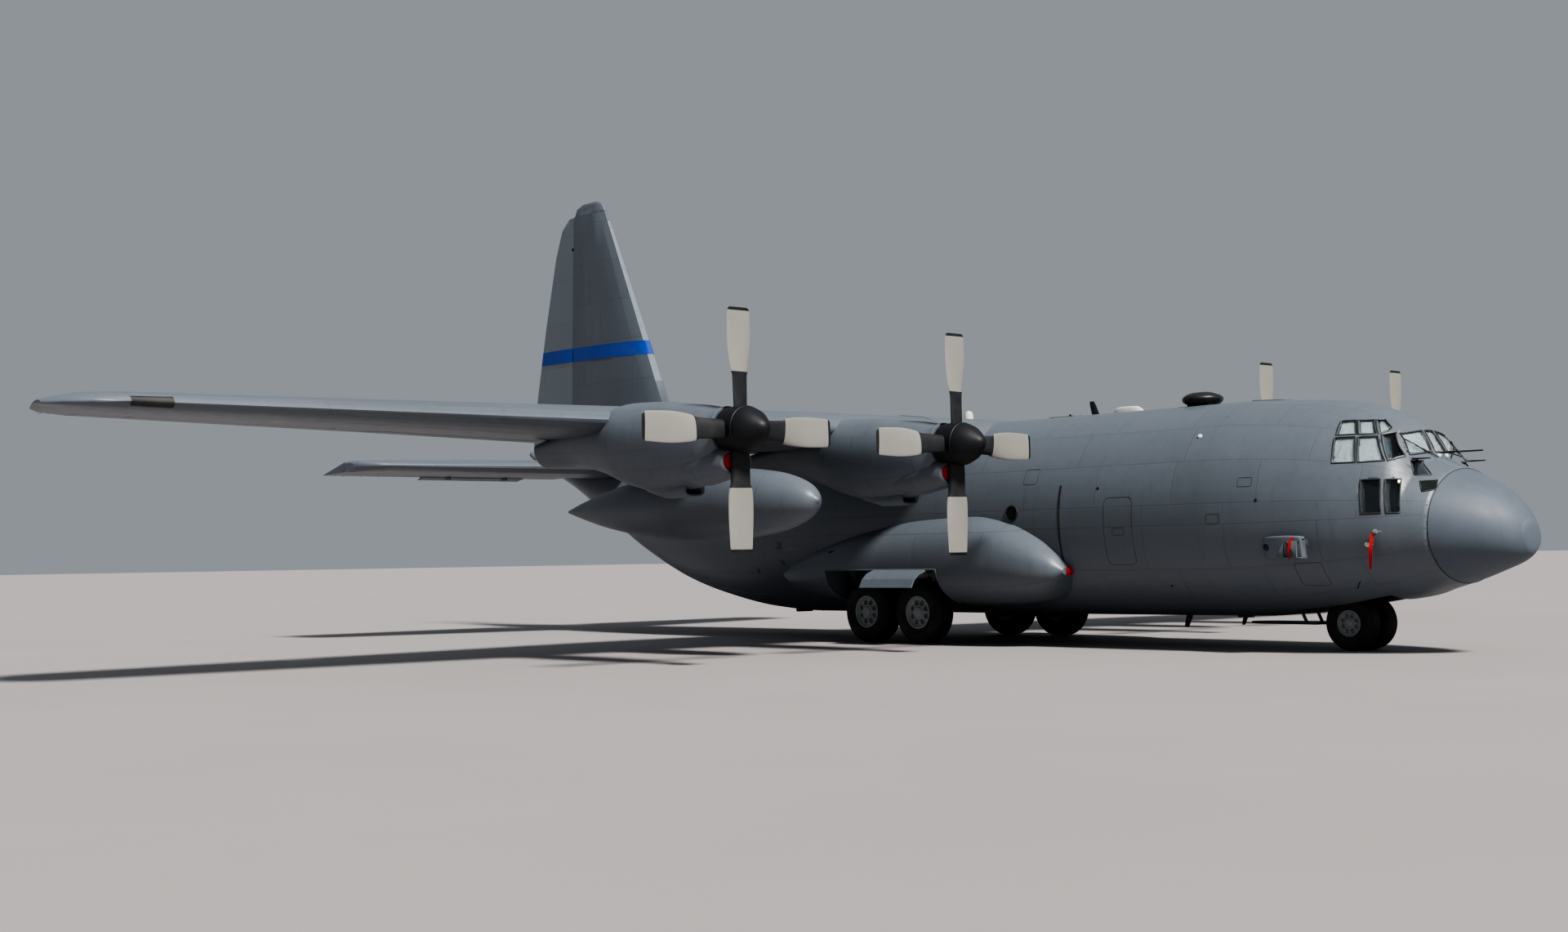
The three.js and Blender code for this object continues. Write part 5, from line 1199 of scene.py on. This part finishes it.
class AIRCRAFT_OT_windows(bpy.types.Operator):
    """Makes the flight deck's panes, their seals, and the crinkled silver shades behind them"""
    bl_idname = "aircraft.windows"
    bl_label = "Flight deck windows"

    def execute(self, context):
        panes, seals, shades = [], [], []
        rows = [(row, False, side) for row in SIDE_PANES for _, side in SIDES]
        rows += [(row, True, -1) for row in FRONT_PANES]
        rows += [((name + "_left", tuple((-y, z) for y, z in outline)[::-1], shaded), True, 1)
                 for name, outline, shaded in FRONT_PANES[1:]]
        for (name, outline, shaded), front, side in rows:
            panes.append(pane(name, outline, front, side, -0.012, 0.006))
            seals.append(seal(name, grown(outline, 0.012), front, side, 0.0, 0.0075))
            if shaded:
                shades.append(self.shade(name, grown(outline, -0.004), front, side))
        add("flight_deck_panes", panes, "glass", "window_glass")
        add("window_seals", seals, "black_plastic", "trim_black", angle=50)
        add("window_shades", shades, "strut", "shade_foil", angle=60)
        return {"FINISHED"}

    def shade(self, name, outline, front, side):
        sheet = pane(name, outline, front, side, -0.045, 0.001, 0.02)
        for vertex in sheet.data.vertices:
            place = vertex.co
            fold = noise.noise(Vector((place.x * 46, place.y * 46, place.z * 9)))
            fold += 0.6 * noise.noise(place * 80)
            vertex.co = place + Vector((0.009 * fold, -side * 0.009 * fold, 0)) * (1 if front else -1)
        return sheet


def on_side(station, z, side, proud=0.0):
    """A place on the fuselage's side, in the model's frame."""
    return point(station, side * hull_y(station, z, proud), z)


def on_roof(station, y, proud=0.0):
    top, _, half, middle, _ = hull_row(station)
    return point(station, y, middle + (top - middle + proud) * math.sqrt(1 - (y / half) ** 2))


def under_belly(station, y, proud=0.0):
    _, bottom, half, middle, square = hull_row(station)
    share = (1 - abs(y / half) ** square) ** (1 / square)
    return point(station, y, middle - (middle - bottom + proud) * share)


def round_outline(station, z, radius, sides):
    return [(station + radius * math.cos(a), z + radius * math.sin(a)) for a in turns(sides)]


def rounded(low, high, corner, steps=5):
    """A rectangle with rounded corners, as (along, up) pairs."""
    outline = []
    for across, up, start in ((1, 1, 0), (-1, 1, 90), (-1, -1, 180), (1, -1, 270)):
        centre = ((low[0] + high[0]) / 2 + across * ((high[0] - low[0]) / 2 - corner),
                  (low[1] + high[1]) / 2 + up * ((high[1] - low[1]) / 2 - corner))
        for k in range(steps + 1):
            a = math.radians(start + 90 * k / steps)
            outline.append((centre[0] + corner * math.cos(a), centre[1] + corner * math.sin(a)))
    return outline


# Lines and plates on the fuselage's sides. Columns: low station and z, high station and z, corner radius.
SIDE_OUTLINES = (
    (6.78, 1.6, 7.45, 2.87, 0.12), (4.83, 2.33, 5.1, 2.5, 0.03), (4.2, 2.97, 4.48, 3.13, 0.03),
    (6.98, 2.16, 7.25, 2.3, 0.03), (9.2, 3.2, 9.55, 3.5, 0.05), (3.0, 1.2, 3.5, 1.6, 0.05),
)
PROPELLER_LINE = ((8.53, 1.62), (8.575, 1.62), (8.585, 3.15), (8.54, 3.15))
PORTHOLES = ((9.77, 2.64), (15.9, 3.1))
VENTS = ((7.63, 3.06), (4.08, 2.72), (11.6, 3.3), (13.2, 3.3), (6.2, 1.2))
# Aerials. Columns: station, y, height, length.
ROOF_AERIALS = ((9.35, 0, 0.3, 0.2), (10.25, 0.3, 0.12, 0.1), (16.8, 0, 0.3, 0.22))
BELLY_AERIALS = ((6.0, 0.3, 0.22, 0.12), (7.1, 0, 0.26, 0.16), (9.4, -0.4, 0.2, 0.1), (16.9, 0.3, 0.2, 0.12))
# Outline of an aerial. Columns: share of the height, share of the length.
AERIAL = ((0.0, 1.0), (0.3, 0.93), (0.6, 0.84), (0.85, 0.72), (0.96, 0.6), (1.0, 0.4))
ROOF_HATCHES = ((5.0, 0.0), (10.0, 0.0), (16.9, 0.75))


class AIRCRAFT_OT_side_details(bpy.types.Operator):
    """Adds portholes, hatch outlines, lights, vents and the line at the propellers to the fuselage"""
    bl_idname = "aircraft.side_details"
    bl_label = "Fuselage details"

    def execute(self, context):
        lines, black, panes, rings, white = [], [], [], [], []
        for _, side in SIDES:
            for low_s, low_z, high_s, high_z, corner in SIDE_OUTLINES:
                outline = rounded((low_s, low_z), (high_s, high_z), corner)
                lines.append(seal("outline", outline, False, side, -0.001, 0.0022))
            black.append(pane("line", PROPELLER_LINE, False, side, 0.006, 0.002))
            for station, z in PORTHOLES:
                disc = round_outline(station, z, 0.15, 28)
                # Opaque near-black porthole panes: painted shade of the unlit hold behind the glass.
                panes.append(pane("porthole", disc, False, side, 0.008, 0.004))
                rings.append(seal("porthole_ring", disc, False, side, 0.01, 0.007))
            for place in VENTS:
                middle = on_side(*place, side)
                out = middle + Vector((0, side * 0.005, 0))
                black.append(bar("vent", middle, out, 0.014, sides=20, bevel=0.0015))
            middle = on_side(5.6, 3.95, side)
            out = middle + Vector((0, side * 0.014, 0.008))
            white.append(bar("side_light", middle, out, 0.024, 0.015, 24, 0.003))
        bead = [point(*hull_point(1.2, a, 0.001)) for a in turns(120)]
        rings.append(tube("radome_bead", bead, 0.0035, 8, closed=True))
        add("side_outlines", lines, "black_plastic", "trim_black")
        add("side_marks", black, "black_plastic", "trim_black")
        add("porthole_panes", panes, "black_plastic", "near_black_and_shade")
        add("porthole_rings", rings, "grey_paint", "trim_black", angle=50)
        add("side_lights", white, "pale_paint", "lamp_glass", angle=40)
        self.aerials()
        return {"FINISHED"}

    def aerials(self):
        blades = [self.aerial(on_roof(station, y, -0.02), height, length)
                  for station, y, height, length in ROOF_AERIALS]
        white = [self.aerial(on_roof(8.5, 0, -0.02), 0.13, 0.8)]
        blades += [self.aerial(under_belly(station, y, -0.02), -height, length)
                   for station, y, height, length in BELLY_AERIALS]
        hatches = []
        for station, y in ROOF_HATCHES:
            ring = [on_roof(station + dx, y + dy, 0.012)
                    for dx, dy in rounded((-0.38, -0.32), (0.38, 0.32), 0.12)]
            hatches.append(tube("roof_hatch", ring, 0.0035, 6, closed=True))
        dome = [(-0.09, 0.05), (0.0, 0.048), (0.03, 0.035), (0.045, 0.0)]
        white.append(turn_profile("beacon", dome, on_roof(12.9, 0, 0.23), "Z", 28))
        add("aerials", blades, "black_plastic", "trim_black", angle=40)
        add("pale_aerial", white, "pale_paint", "white_paint", angle=40)
        add("roof_hatches", hatches, "black_plastic", "bay_paint", angle=50)

    def aerial(self, foot, height, length):
        """A raked blade. A negative height hangs down."""
        height, length = height * SCALE, length * SCALE
        return loft("aerial", [
            [foot + Vector((length * 0.5 * width * math.cos(a) - 0.35 * abs(height) * share,
                            0.09 * length * width * math.sin(a), height * share)) for a in turns(20)]
            for share, width in AERIAL])


# Nose parts. Panes and wipers hold (y, z) corners, or (station, z) where they lie on a side.
CHIN_PANE = ((1.46, 2.965), (1.26, 2.97), (1.205, 2.82), (1.365, 2.795))
WIPER_ARM = ((0.22, 3.4), (0.34, 3.47), (0.5, 3.54), (0.66, 3.6))
WIPER_BLADE = ((0.46, 3.5), (0.64, 3.62), (0.78, 3.72))
PROBES = ((1.98, 2.12), (2.14, 1.9))
# Nose scoop and its mouth. Columns: station, how far out, half height.
SCOOP = ((3.19, 0.13, 0.17), (3.2, 0.15, 0.19), (3.24, 0.165, 0.2), (3.45, 0.18, 0.21), (3.7, 0.17, 0.205),
         (3.86, 0.12, 0.19), (3.95, 0.06, 0.16), (4.0, 0.0, 0.12))
SCOOP_MOUTH = ((3.1, 0.15, 0.18), (3.3, 0.16, 0.19), (3.5, 0.12, 0.15))
SCOOP_Z = 1.87
SCOOP_WALL = 0.035
# Streamers on the right side. Columns: station, z, how far the top stands out, full-size length, lean, rest.
STREAMERS = ((3.3, 2.05, 0.19, 0.38, 0.2, "nose_scoops"), (1.98, 2.08, 0.1, 0.6, 0.1, "nose_probes"))
STREAMER_WIDTH = 0.03


class AIRCRAFT_OT_nose_details(bpy.types.Operator):
    """Adds the air scoops, pressure probes, wipers, chin panes, lights and red streamers to the nose"""
    bl_idname = "aircraft.nose_details"
    bl_label = "Nose details"

    def execute(self, context):
        scoops, probes, chins, rims, arms, dark, lamps = [], [], [], [], [], [], []
        for _, side in SIDES:
            scoops.append(self.scoop(side))
            # A near-black disc on each scoop stands for its round outlet hole: painted shade.
            dark.append(bar("scoop_outlet_shade", on_side(3.86, 1.88, side, 0.1), on_side(3.86, 1.88, side, 0.125),
                            0.03, sides=28, bevel=0.003))
            for station, z in PROBES:
                foot = on_side(station, z, side, -0.01)
                out = foot + Vector((0.012, side * 0.05, 0))
                plate = round_outline(station, z, 0.04, 20)
                probes += [bar("probe_leg", foot, out, 0.008, 0.006, 16),
                           bar("probe", out + Vector((-0.012, 0, 0)), out + Vector((0.075, side * 0.004, 0)),
                               0.006, 0.0035, 16, 0.001),
                           pane("probe_plate", plate, False, side, 0.008, 0.004)]
            # Opaque near-black chin panes: painted shade of the unlit inside behind the glass.
            chins.append(pane("chin_pane", CHIN_PANE, False, side, 0.004, 0.003))
            rims.append(seal("chin_rim", grown(CHIN_PANE, 0.012), False, side, 0.004, 0.006))
            for name, places, proud, radius in (("wiper", WIPER_ARM, 0.03, 0.0045),
                                                ("wiper_blade", WIPER_BLADE, 0.02, 0.006)):
                path = [on_skin((side * y, z), True, side, proud) for y, z in places]
                arms.append(tube(name, path, radius, 8))
            seam = [on_side(2.52 + 0.14 * k / 8, 1.26 - 0.13 * k / 8, side, 0.003) for k in range(9)]
            dark.append(tube("drain", seam, 0.004, 8))
        pitot = on_skin((0.74, 3.32), True, 1, -0.02)
        for side in (1, -1):
            foot = Vector((pitot.x, side * pitot.y, pitot.z))
            out = foot + Vector((0.03, side * 0.09, 0.02))
            bend = foot.lerp(out, 0.5) + Vector((0, 0, 0.01))
            arms.append(tube("pitot_leg", [foot, bend, out], 0.007, 12))
            arms.append(bar("pitot", out + Vector((-0.03, 0, 0)), out + Vector((0.14, 0, 0)), 0.008, 0.005,
                            16, 0.001))
        for y in (-0.12, 0.12):
            place = on_skin((y, 3.43), True, 1, 0.0)
            lamps.append(bar("nose_light", place, place + Vector((0.014, 0, 0.01)), 0.022, 0.022 * 0.6, 24,
                             0.003))
        add("nose_scoops", scoops, "grey_paint", "fuselage_paint", angle=35)
        add("nose_probes", probes, "strut", "bright_metal", angle=35)
        add("chin_panes", chins, "black_plastic", "near_black_and_shade")
        add("chin_rims", rims, "black_plastic", "trim_black", angle=50)
        add("wipers_pitots", arms, "black_plastic", "trim_black", angle=50)
        add("nose_dark_parts", dark, "black_plastic", "near_black_and_shade", angle=50)
        add("nose_lights", lamps, "pale_paint", "lamp_glass", angle=40)
        for number, row in enumerate(STREAMERS):
            self.streamer(number, *row)
        return {"FINISHED"}

    def scoop(self, side):
        shell = loft("scoop", [self.scoop_ring(side, *row) for row in SCOOP])
        return cut(shell, loft("mouth", [self.scoop_ring(side, station, out - SCOOP_WALL, half - SCOOP_WALL)
                                         for station, out, half in SCOOP_MOUTH]))

    def scoop_ring(self, side, station, out, half):
        return [point(station, side * (hull_y(station, SCOOP_Z + 0.6 * up) + along), SCOOP_Z + up)
                for along, up in rounded((-0.08, -half), (out, half), 0.04)]

    def streamer(self, number, station, z, proud, length, lean, rest):
        """A red cloth strip that hangs from a covered opening, a folded sheet of its own"""
        top = on_side(station, z, -1, proud)
        rows = 24
        left, right = [], []
        for k in range(rows + 1):
            down = k / rows
            place = top + Vector((-lean * down * length * SCALE, -0.012 * math.sin(4 * down),
                                  -length * SCALE * down))
            place.y = min(place.y, on_side(full_size(place)[0], place.z / SCALE, -1, 0.03).y)
            twist = 0.5 * math.sin(3.1 * down + number)
            across = Vector((math.cos(twist), math.sin(twist), 0)) * STREAMER_WIDTH / 2
            left.append(place - across)
            right.append(place + across)
        faces = [(k, k + 1, k + rows + 2, k + rows + 1) for k in range(rows)]
        strip = new_mesh(f"streamer_{number + 1}", left + right, faces)
        add_modifier(strip, "SOLIDIFY", thickness=0.0008, offset=0)
        finish(strip, "airframe", "black_plastic", "red_cloth", angle=60)


class AIRCRAFT_OT_covers(bpy.types.Operator):
    """Adds the red plugs of the intakes and fairings"""
    bl_idname = "aircraft.covers"
    bl_label = "Plugs"

    def execute(self, context):
        plugs = [chin_part("plug", y, z, CHIN_PLUG) for y, z in ENGINES.values()]
        for _, side in SIDES:
            foot = point(8.47, side * 2.0, 1.49)
            plugs.append(bar("fairing_plug", foot + Vector((-0.02, 0, 0)), foot + Vector((0.03, 0, 0)), 0.05,
                             0.042, 28, 0.006))
        add("red_plugs", plugs, "black_plastic", "red_cloth", angle=40)
        return {"FINISHED"}


def skin_band(node, name, planes, keep, proud, material, slot):
    """A thin painted layer over part of a solid: cut out by planes, then laid just outside its skin."""
    piece = solid_copy(node, name)
    work = meshed(piece)
    for place, normal in planes:
        split(work, place, normal, clear_outer=True)
    bmesh.ops.delete(work, geom=[face for face in work.faces if not keep(face)], context="FACES")
    work.normal_update()
    for vertex in work.verts:
        normal = sum((f.normal for f in vertex.link_faces), Vector()).normalized()
        vertex.co += normal * proud
    add_modifier(stored(work, piece), "SOLIDIFY", thickness=0.8 * proud, offset=-1)
    return finish(piece, body_name(node), slot, material, angle=35)


# Section of a trim tab, as (station, z) corners
TAB = ((26.78, 4.085), (26.8, 4.1), (26.86, 4.08), (27.13, 3.98), (27.14, 3.965), (27.12, 3.962),
       (26.82, 4.02))


class AIRCRAFT_OT_markings(bpy.types.Operator):
    """Adds the fin's blue band and pale edge, the right wing's black cover, the trim tabs and the wicks"""
    bl_idname = "aircraft.markings"
    bl_label = "Bands and covers"

    def execute(self, context):
        def outer(face):
            return face.normal.y * face.calc_center_median().y > -0.0003 and face.normal.x > -0.5

        def plane(station, y, z, *normal):
            return point(station, y, z), Vector(normal)

        for node in ("fin", "rudder"):
            ends = plane(26.5, 0, 7.65, 0.02, 0, 1), plane(26.5, 0, 7.28, -0.02, 0, -1)
            skin_band(node, node + "_band", ends, outer, 0.0016, "band_blue", "black_plastic")
        ends = plane(0, 0, 11.0, 0, 0, 1), plane(0, 0, 6.5, 0, 0, -1)
        skin_band("fin", "fin_edge", ends, lambda face: face.normal.x > 0.62 and self.leading(face), 0.0005,
                  "rudder_paint", "pale_paint")
        ends = (plane(0, -18.55, 0, 0, 1, 0), plane(0, -19.2, 0, 0, -1, 0), plane(12.02, 0, 0, -1, 0, 0))
        skin_band("wing_right", "edge_cover", ends, lambda face: abs(face.normal.y) < 0.7, 0.006,
                  "trim_black", "black_plastic")
        self.tabs()
        self.wicks()
        return {"FINISHED"}

    def leading(self, face):
        """Whether a face lies on the fin's front edge"""
        station, _, z = full_size(face.calc_center_median())
        return station < 24.3 + (z - 6.4) * 0.47

    def tabs(self):
        """Trim tabs that hang at the rear edges of the elevators"""
        for name, side in SIDES:
            body = f"elevator_{name}"
            section = [point(station, side * 2.3, z) for station, z in TAB]
            parts = [slab("tab", section, (0, side * 3.0 * SCALE, 0), 0.0012)]
            parts += [brick("horn", point(26.7, side * y - 0.02, 3.97), point(26.95, side * y + 0.02, 4.05),
                            0.003) for y in (2.9, 4.6)]
            add(f"trim_tab_{name}", parts, slot_of(body), "wing_paint", body, angle=35)

    def wicks(self):
        """Thin rods that trail from the wing tips and the elevators"""
        def rods(station, z, side, places, trail):
            starts = [point(station, side * y, z) for y in places]
            return [bar("wick", start, start + Vector(trail), 0.0022, 0.0012, 8) for start in starts]

        wing = []
        for _, side in SIDES:
            wing += rods(14.4, 4.3, side, (19.3, 19.45, 19.6), (-0.13, 0, -0.004))
        add("wing_wicks", wing, "black_plastic", "trim_black")
        for name, side in SIDES:
            add(f"elevator_wicks_{name}", rods(27.07, 4.04, side, (6.4, 6.9, 7.4), (-0.09, 0, -0.008)),
                "black_plastic", "trim_black", f"elevator_{name}")


# Landing gear. Brake: distance inwards and radius. Hose: stations behind the axle, y, z.
BRAKE = ((-0.03, 0.0), (-0.03, 0.105), (-0.022, 0.115), (0.0, 0.115), (0.008, 0.105), (0.008, 0.0))
HOSE = ((0.1, 1.86, 0.78), (0.24, 1.84, 0.95), (0.26, 1.84, 1.15), (0.2, 1.83, 1.35), (0.2, 1.82, 1.6))


class AIRCRAFT_OT_gear_details(bpy.types.Operator):
    """Adds brakes, hoses and door arms to the landing gear, and ribs to the wheel bays"""
    bl_idname = "aircraft.gear_details"
    bl_label = "Landing gear details"

    def execute(self, context):
        brakes, hoses, ribs, steel = [], [], [], []
        for _, side in SIDES:
            for station in MAIN_AXLES.values():
                centre = point(station, side * 1.93, 0.66)
                brakes.append(turn_profile("brake", [(side * a, r) for a, r in BRAKE], centre, "Y", 48))
                for hub in round_axle(centre, 0.075, -side * 0.03, turns(6)):
                    brakes.append(bar("piston", hub, hub + Vector((0, -side * 0.018, 0)), 0.014, sides=16,
                                      bevel=0.002))
                path = [point(station + dx, side * y, z) for dx, y, z in HOSE]
                hoses.append(tube("hose", path, 0.006, 10))
            for k in range(9):
                station = 11.5 + 3.26 * k / 8
                ribs.append(brick("rib", point(station - 0.02, side * 1.6, 1.9),
                                  point(station + 0.02, side * 2.58, 1.955), 0.002, 1))
            for station in (11.9, 14.2):
                path = [point(station, side * y, 1.86) for y in (1.62, 2.0, 2.3, 2.55)]
                steel.append(tube("bay_pipe", path, 0.008, 12))
            path = [point(station, side * 1.66, 1.84) for station in (11.4, 12.4, 13.6, 14.6)]
            steel.append(tube("bay_line", path, 0.007, 12))
            steel.append(bar("rod", point(11.75, side * 2.3, 1.9), point(11.75, side * 2.72, 1.58), 0.012,
                             sides=20, bevel=0.002))
        add("brakes", brakes, "dark_metal", "dark_metal", angle=35)
        add("gear_hoses", hoses, "black_plastic", "trim_black", angle=60)
        add("bay_ribs", ribs, "grey_paint", "bay_paint")
        add("bay_pipes", steel, "strut", "leg_paint", angle=50)
        return {"FINISHED"}


HOLD_FRONT, HOLD_REAR, HOLD_FLOOR, HOLD_MIDDLE = 5.7, 17.7, 1.03, 2.49


class AIRCRAFT_OT_hold(bpy.types.Operator):
    """Adds frames, stringers, floor rails and tie-down rings to the cargo hold"""
    bl_idname = "aircraft.hold"
    bl_label = "Cargo hold"

    def execute(self, context):
        frames, rails = [], []
        for k in range(24):
            station = 5.75 + 0.5 * k
            if not 11.0 < station < 16.7:
                path = [point(station, 1.98 * math.cos(a), HOLD_MIDDLE + 1.98 * math.sin(a))
                        for a in (math.radians(-28 + 236 * i / 40) for i in range(41))]
                frames.append(tube("hold_frame", path, 0.016, 6))
        for k in range(9):
            a = math.radians(-18 + 27 * k)
            y, z = 1.97 * math.cos(a), HOLD_MIDDLE + 1.97 * math.sin(a)
            rails.append(bar("stringer", point(HOLD_FRONT, y, z), point(10.9, y, z), 0.009, sides=8))
        for y in (-0.95, -0.4, 0.4, 0.95):
            rails.append(brick("rail", point(HOLD_FRONT, y - 0.06, HOLD_FLOOR),
                               point(HOLD_REAR, y + 0.06, 1.055), 0.002, 1))
        path = [Vector((x, y, 0.004)) for x, y in round_outline(0, 0, 0.02, 14)]
        ring = tube("ring", path, 0.0035, 6, closed=True)
        rings = repeated("tie_down_rings", ring, [point(6.1 + 0.8 * i, y, HOLD_FLOOR) for i in range(15)
                                                  for y in (-1.15, -0.65, 0, 0.65, 1.15)])
        add("hold_frames", frames, "interior", "hold_paint", angle=60)
        add("hold_rails", rails, "interior", "floor_metal")
        finish(rings, "airframe", "interior", "bright_metal", angle=60)
        return {"FINISHED"}


class AIRCRAFT_OT_stage(bpy.types.Operator):
    """Adds the floor, the lights and the camera"""
    bl_idname = "aircraft.stage"
    bl_label = "Stage"

    def execute(self, context):
        sizes = context.scene.aircraft_stage
        half = sizes.floor_half
        corners = [(-half, -half, 0), (half, -half, 0), (half, half, 0), (-half, half, 0)]
        floor = new_mesh("stage_floor", corners, [(0, 1, 2, 3)])
        w, shader, place = start_material("stage_floor", 0.8, 0.0)
        tone = w.ramp(w.noise(place, 0.35, 4, 0.6), 0.3, 0.7)
        pale = tuple(context.scene.aircraft_colours.floor)
        w.fill(shader, Base_Color=w.mix(tone, (*pale, 1), (*(value * 0.96 for value in pale), 1)))
        floor.data.materials.append(MATERIALS["stage_floor"])
        world = bpy.data.worlds.new("stage_world")
        context.scene.world = world
        world.use_nodes = True
        background = world.node_tree.nodes["Background"]
        background.inputs[0].default_value = (0.86, 0.92, 1.0, 1)
        background.inputs[1].default_value = sizes.sky
        context.scene.view_settings.look = "AgX - High Contrast"
        sun = bpy.data.lights.new("key_light", "SUN")
        sun.energy, sun.angle, sun.color = sizes.key, math.radians(9), (1.0, 0.97, 0.92)
        travel = Vector((-0.645, 0.08, -0.76))
        linked("key_light", sun).rotation_euler = travel.to_track_quat("-Z", "Y").to_euler()
        self.camera(context)
        return {"FINISHED"}

    def camera(self, context):
        """Stands where the photographer stood, at half scale."""
        place = Vector((15.4775, -15.523, 0.908))
        turn, pitch, roll = math.radians(48.505), math.radians(-1.499), math.radians(-0.897)
        back = Vector((math.sin(turn) * math.cos(pitch), -math.cos(turn) * math.cos(pitch), math.sin(pitch)))
        right = Vector((0, 0, 1)).cross(back).normalized()
        up = back.cross(right)
        level = math.cos(roll) * right + math.sin(roll) * up
        upright = math.cos(roll) * up - math.sin(roll) * right
        data = bpy.data.cameras.new("camera")
        data.sensor_width, data.shift_y, data.clip_end = 36, 0.0267, 2000
        data.lens = context.scene.aircraft_stage.lens * 1000
        camera = linked("camera", data)
        matrix = Matrix((level, upright, back)).transposed().to_4x4()
        matrix.translation = place
        camera.matrix_world = matrix
        context.scene.camera = camera


# Finishes of the solids, by the start of the node's name
NODE_FINISH = (
    ("wing_", "wing_paint"), ("flap_", "wing_paint"), ("aileron_", "wing_paint"), ("tailplane", "wing_paint"),
    ("elevator_", "wing_paint"), ("fin", "fin_paint"), ("rudder", "rudder_paint"),
    ("fuel_tank", "tank_paint"), ("cargo_floor", "bay_paint"), ("flight_deck_interior", "cabin_paint"),
    ("flight_deck_glazing", "window_glass"), ("roof_aerial_dome", "black_plastic"), ("engine_", "dark_metal"),
    ("propeller_", "blade_paint"), ("main_wheel", "black_rubber"), ("nose_wheels", "black_rubber"),
    ("main_gear_leg", "leg_paint"), ("nose_gear_leg", "leg_paint"), ("nose_gear_fork", "leg_paint"),
    ("main_gear_door", "door_paint"), ("nose_radome", "nose_paint"), ("", "fuselage_paint"),
)
SMOOTHED = (
    "fin", "rudder", "tailplane", "wing_centre", "roof_aerial_dome", "nose_gear_leg", "nose_gear_fork",
    *(start + name for name, _ in SIDES for start in (
        "elevator_", "wing_", "aileron_", "flap_inner_", "flap_outer_", "main_gear_door_", "main_gear_leg_")),
)


def body_name(node):
    return frame["nodes"][node]["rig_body"]


def node_finish(node):
    """The finish of a solid."""
    if node.startswith("nacelle"):
        return "nacelle_paint_" + node[-1]
    return next(value for start, value in NODE_FINISH if node.startswith(start))


def slot_of(node):
    return next(part["material_slot"] for part in frame["record"]["subparts"] if part["node"] == node)


def smooth_copy(node):
    """A welded copy of a solid, shaded smooth over its gentle turns."""
    piece = solid_copy(node, node + "_skin")
    in_edit(piece, weld, lambda: bpy.ops.mesh.dissolve_limited(angle_limit=math.radians(0.4)))
    finish(piece, body_name(node), slot_of(node), node_finish(node), replaces=(node,), angle=35)
    return add_modifier(piece, "WEIGHTED_NORMAL", keep_sharp=True, weight=80)


class AIRCRAFT_OT_solids(bpy.types.Operator):
    """Gives the solids their finishes, and smooth copies where they are round"""
    bl_idname = "aircraft.solids"
    bl_label = "Solids"

    def execute(self, context):
        for node, solid in frame["nodes"].items():
            if node in SMOOTHED:
                smooth_copy(node)
                continue
            solid.data.materials.clear()
            solid.data.materials.append(MATERIALS[node_finish(node)])
        return {"FINISHED"}


class AIRCRAFT_PT_panel(bpy.types.Panel):
    """Lists the steps that build the aircraft"""
    bl_label = "Transport aircraft"
    bl_idname = "AIRCRAFT_PT_panel"
    bl_space_type = "VIEW_3D"
    bl_region_type = "UI"
    bl_category = "Aircraft"

    def draw(self, context):
        for step in STEPS:
            self.layout.operator(step.bl_idname)


STEPS = (AIRCRAFT_OT_materials, AIRCRAFT_OT_stage, AIRCRAFT_OT_solids, AIRCRAFT_OT_hull,
         AIRCRAFT_OT_nacelles, AIRCRAFT_OT_propellers, AIRCRAFT_OT_tanks, AIRCRAFT_OT_fairings,
         AIRCRAFT_OT_wheels, AIRCRAFT_OT_windows, AIRCRAFT_OT_side_details, AIRCRAFT_OT_nose_details,
         AIRCRAFT_OT_covers, AIRCRAFT_OT_markings, AIRCRAFT_OT_gear_details, AIRCRAFT_OT_hold)
CLASSES = (PaintColours, StageSizes, *STEPS, AIRCRAFT_PT_panel)


def register():
    for one in CLASSES:
        bpy.utils.register_class(one)
    bpy.types.Scene.aircraft_colours = PointerProperty(type=PaintColours)
    bpy.types.Scene.aircraft_stage = PointerProperty(type=StageSizes)


def unregister():
    del bpy.types.Scene.aircraft_stage
    del bpy.types.Scene.aircraft_colours
    for one in reversed(CLASSES):
        bpy.utils.unregister_class(one)


def corners(box):
    return [[float(value) for value in corner] for corner in box]


def main():
    register()
    for step in STEPS:
        family, name = step.bl_idname.split(".")
        getattr(getattr(bpy.ops, family), name)()


if __name__ == "__main__":
    main()
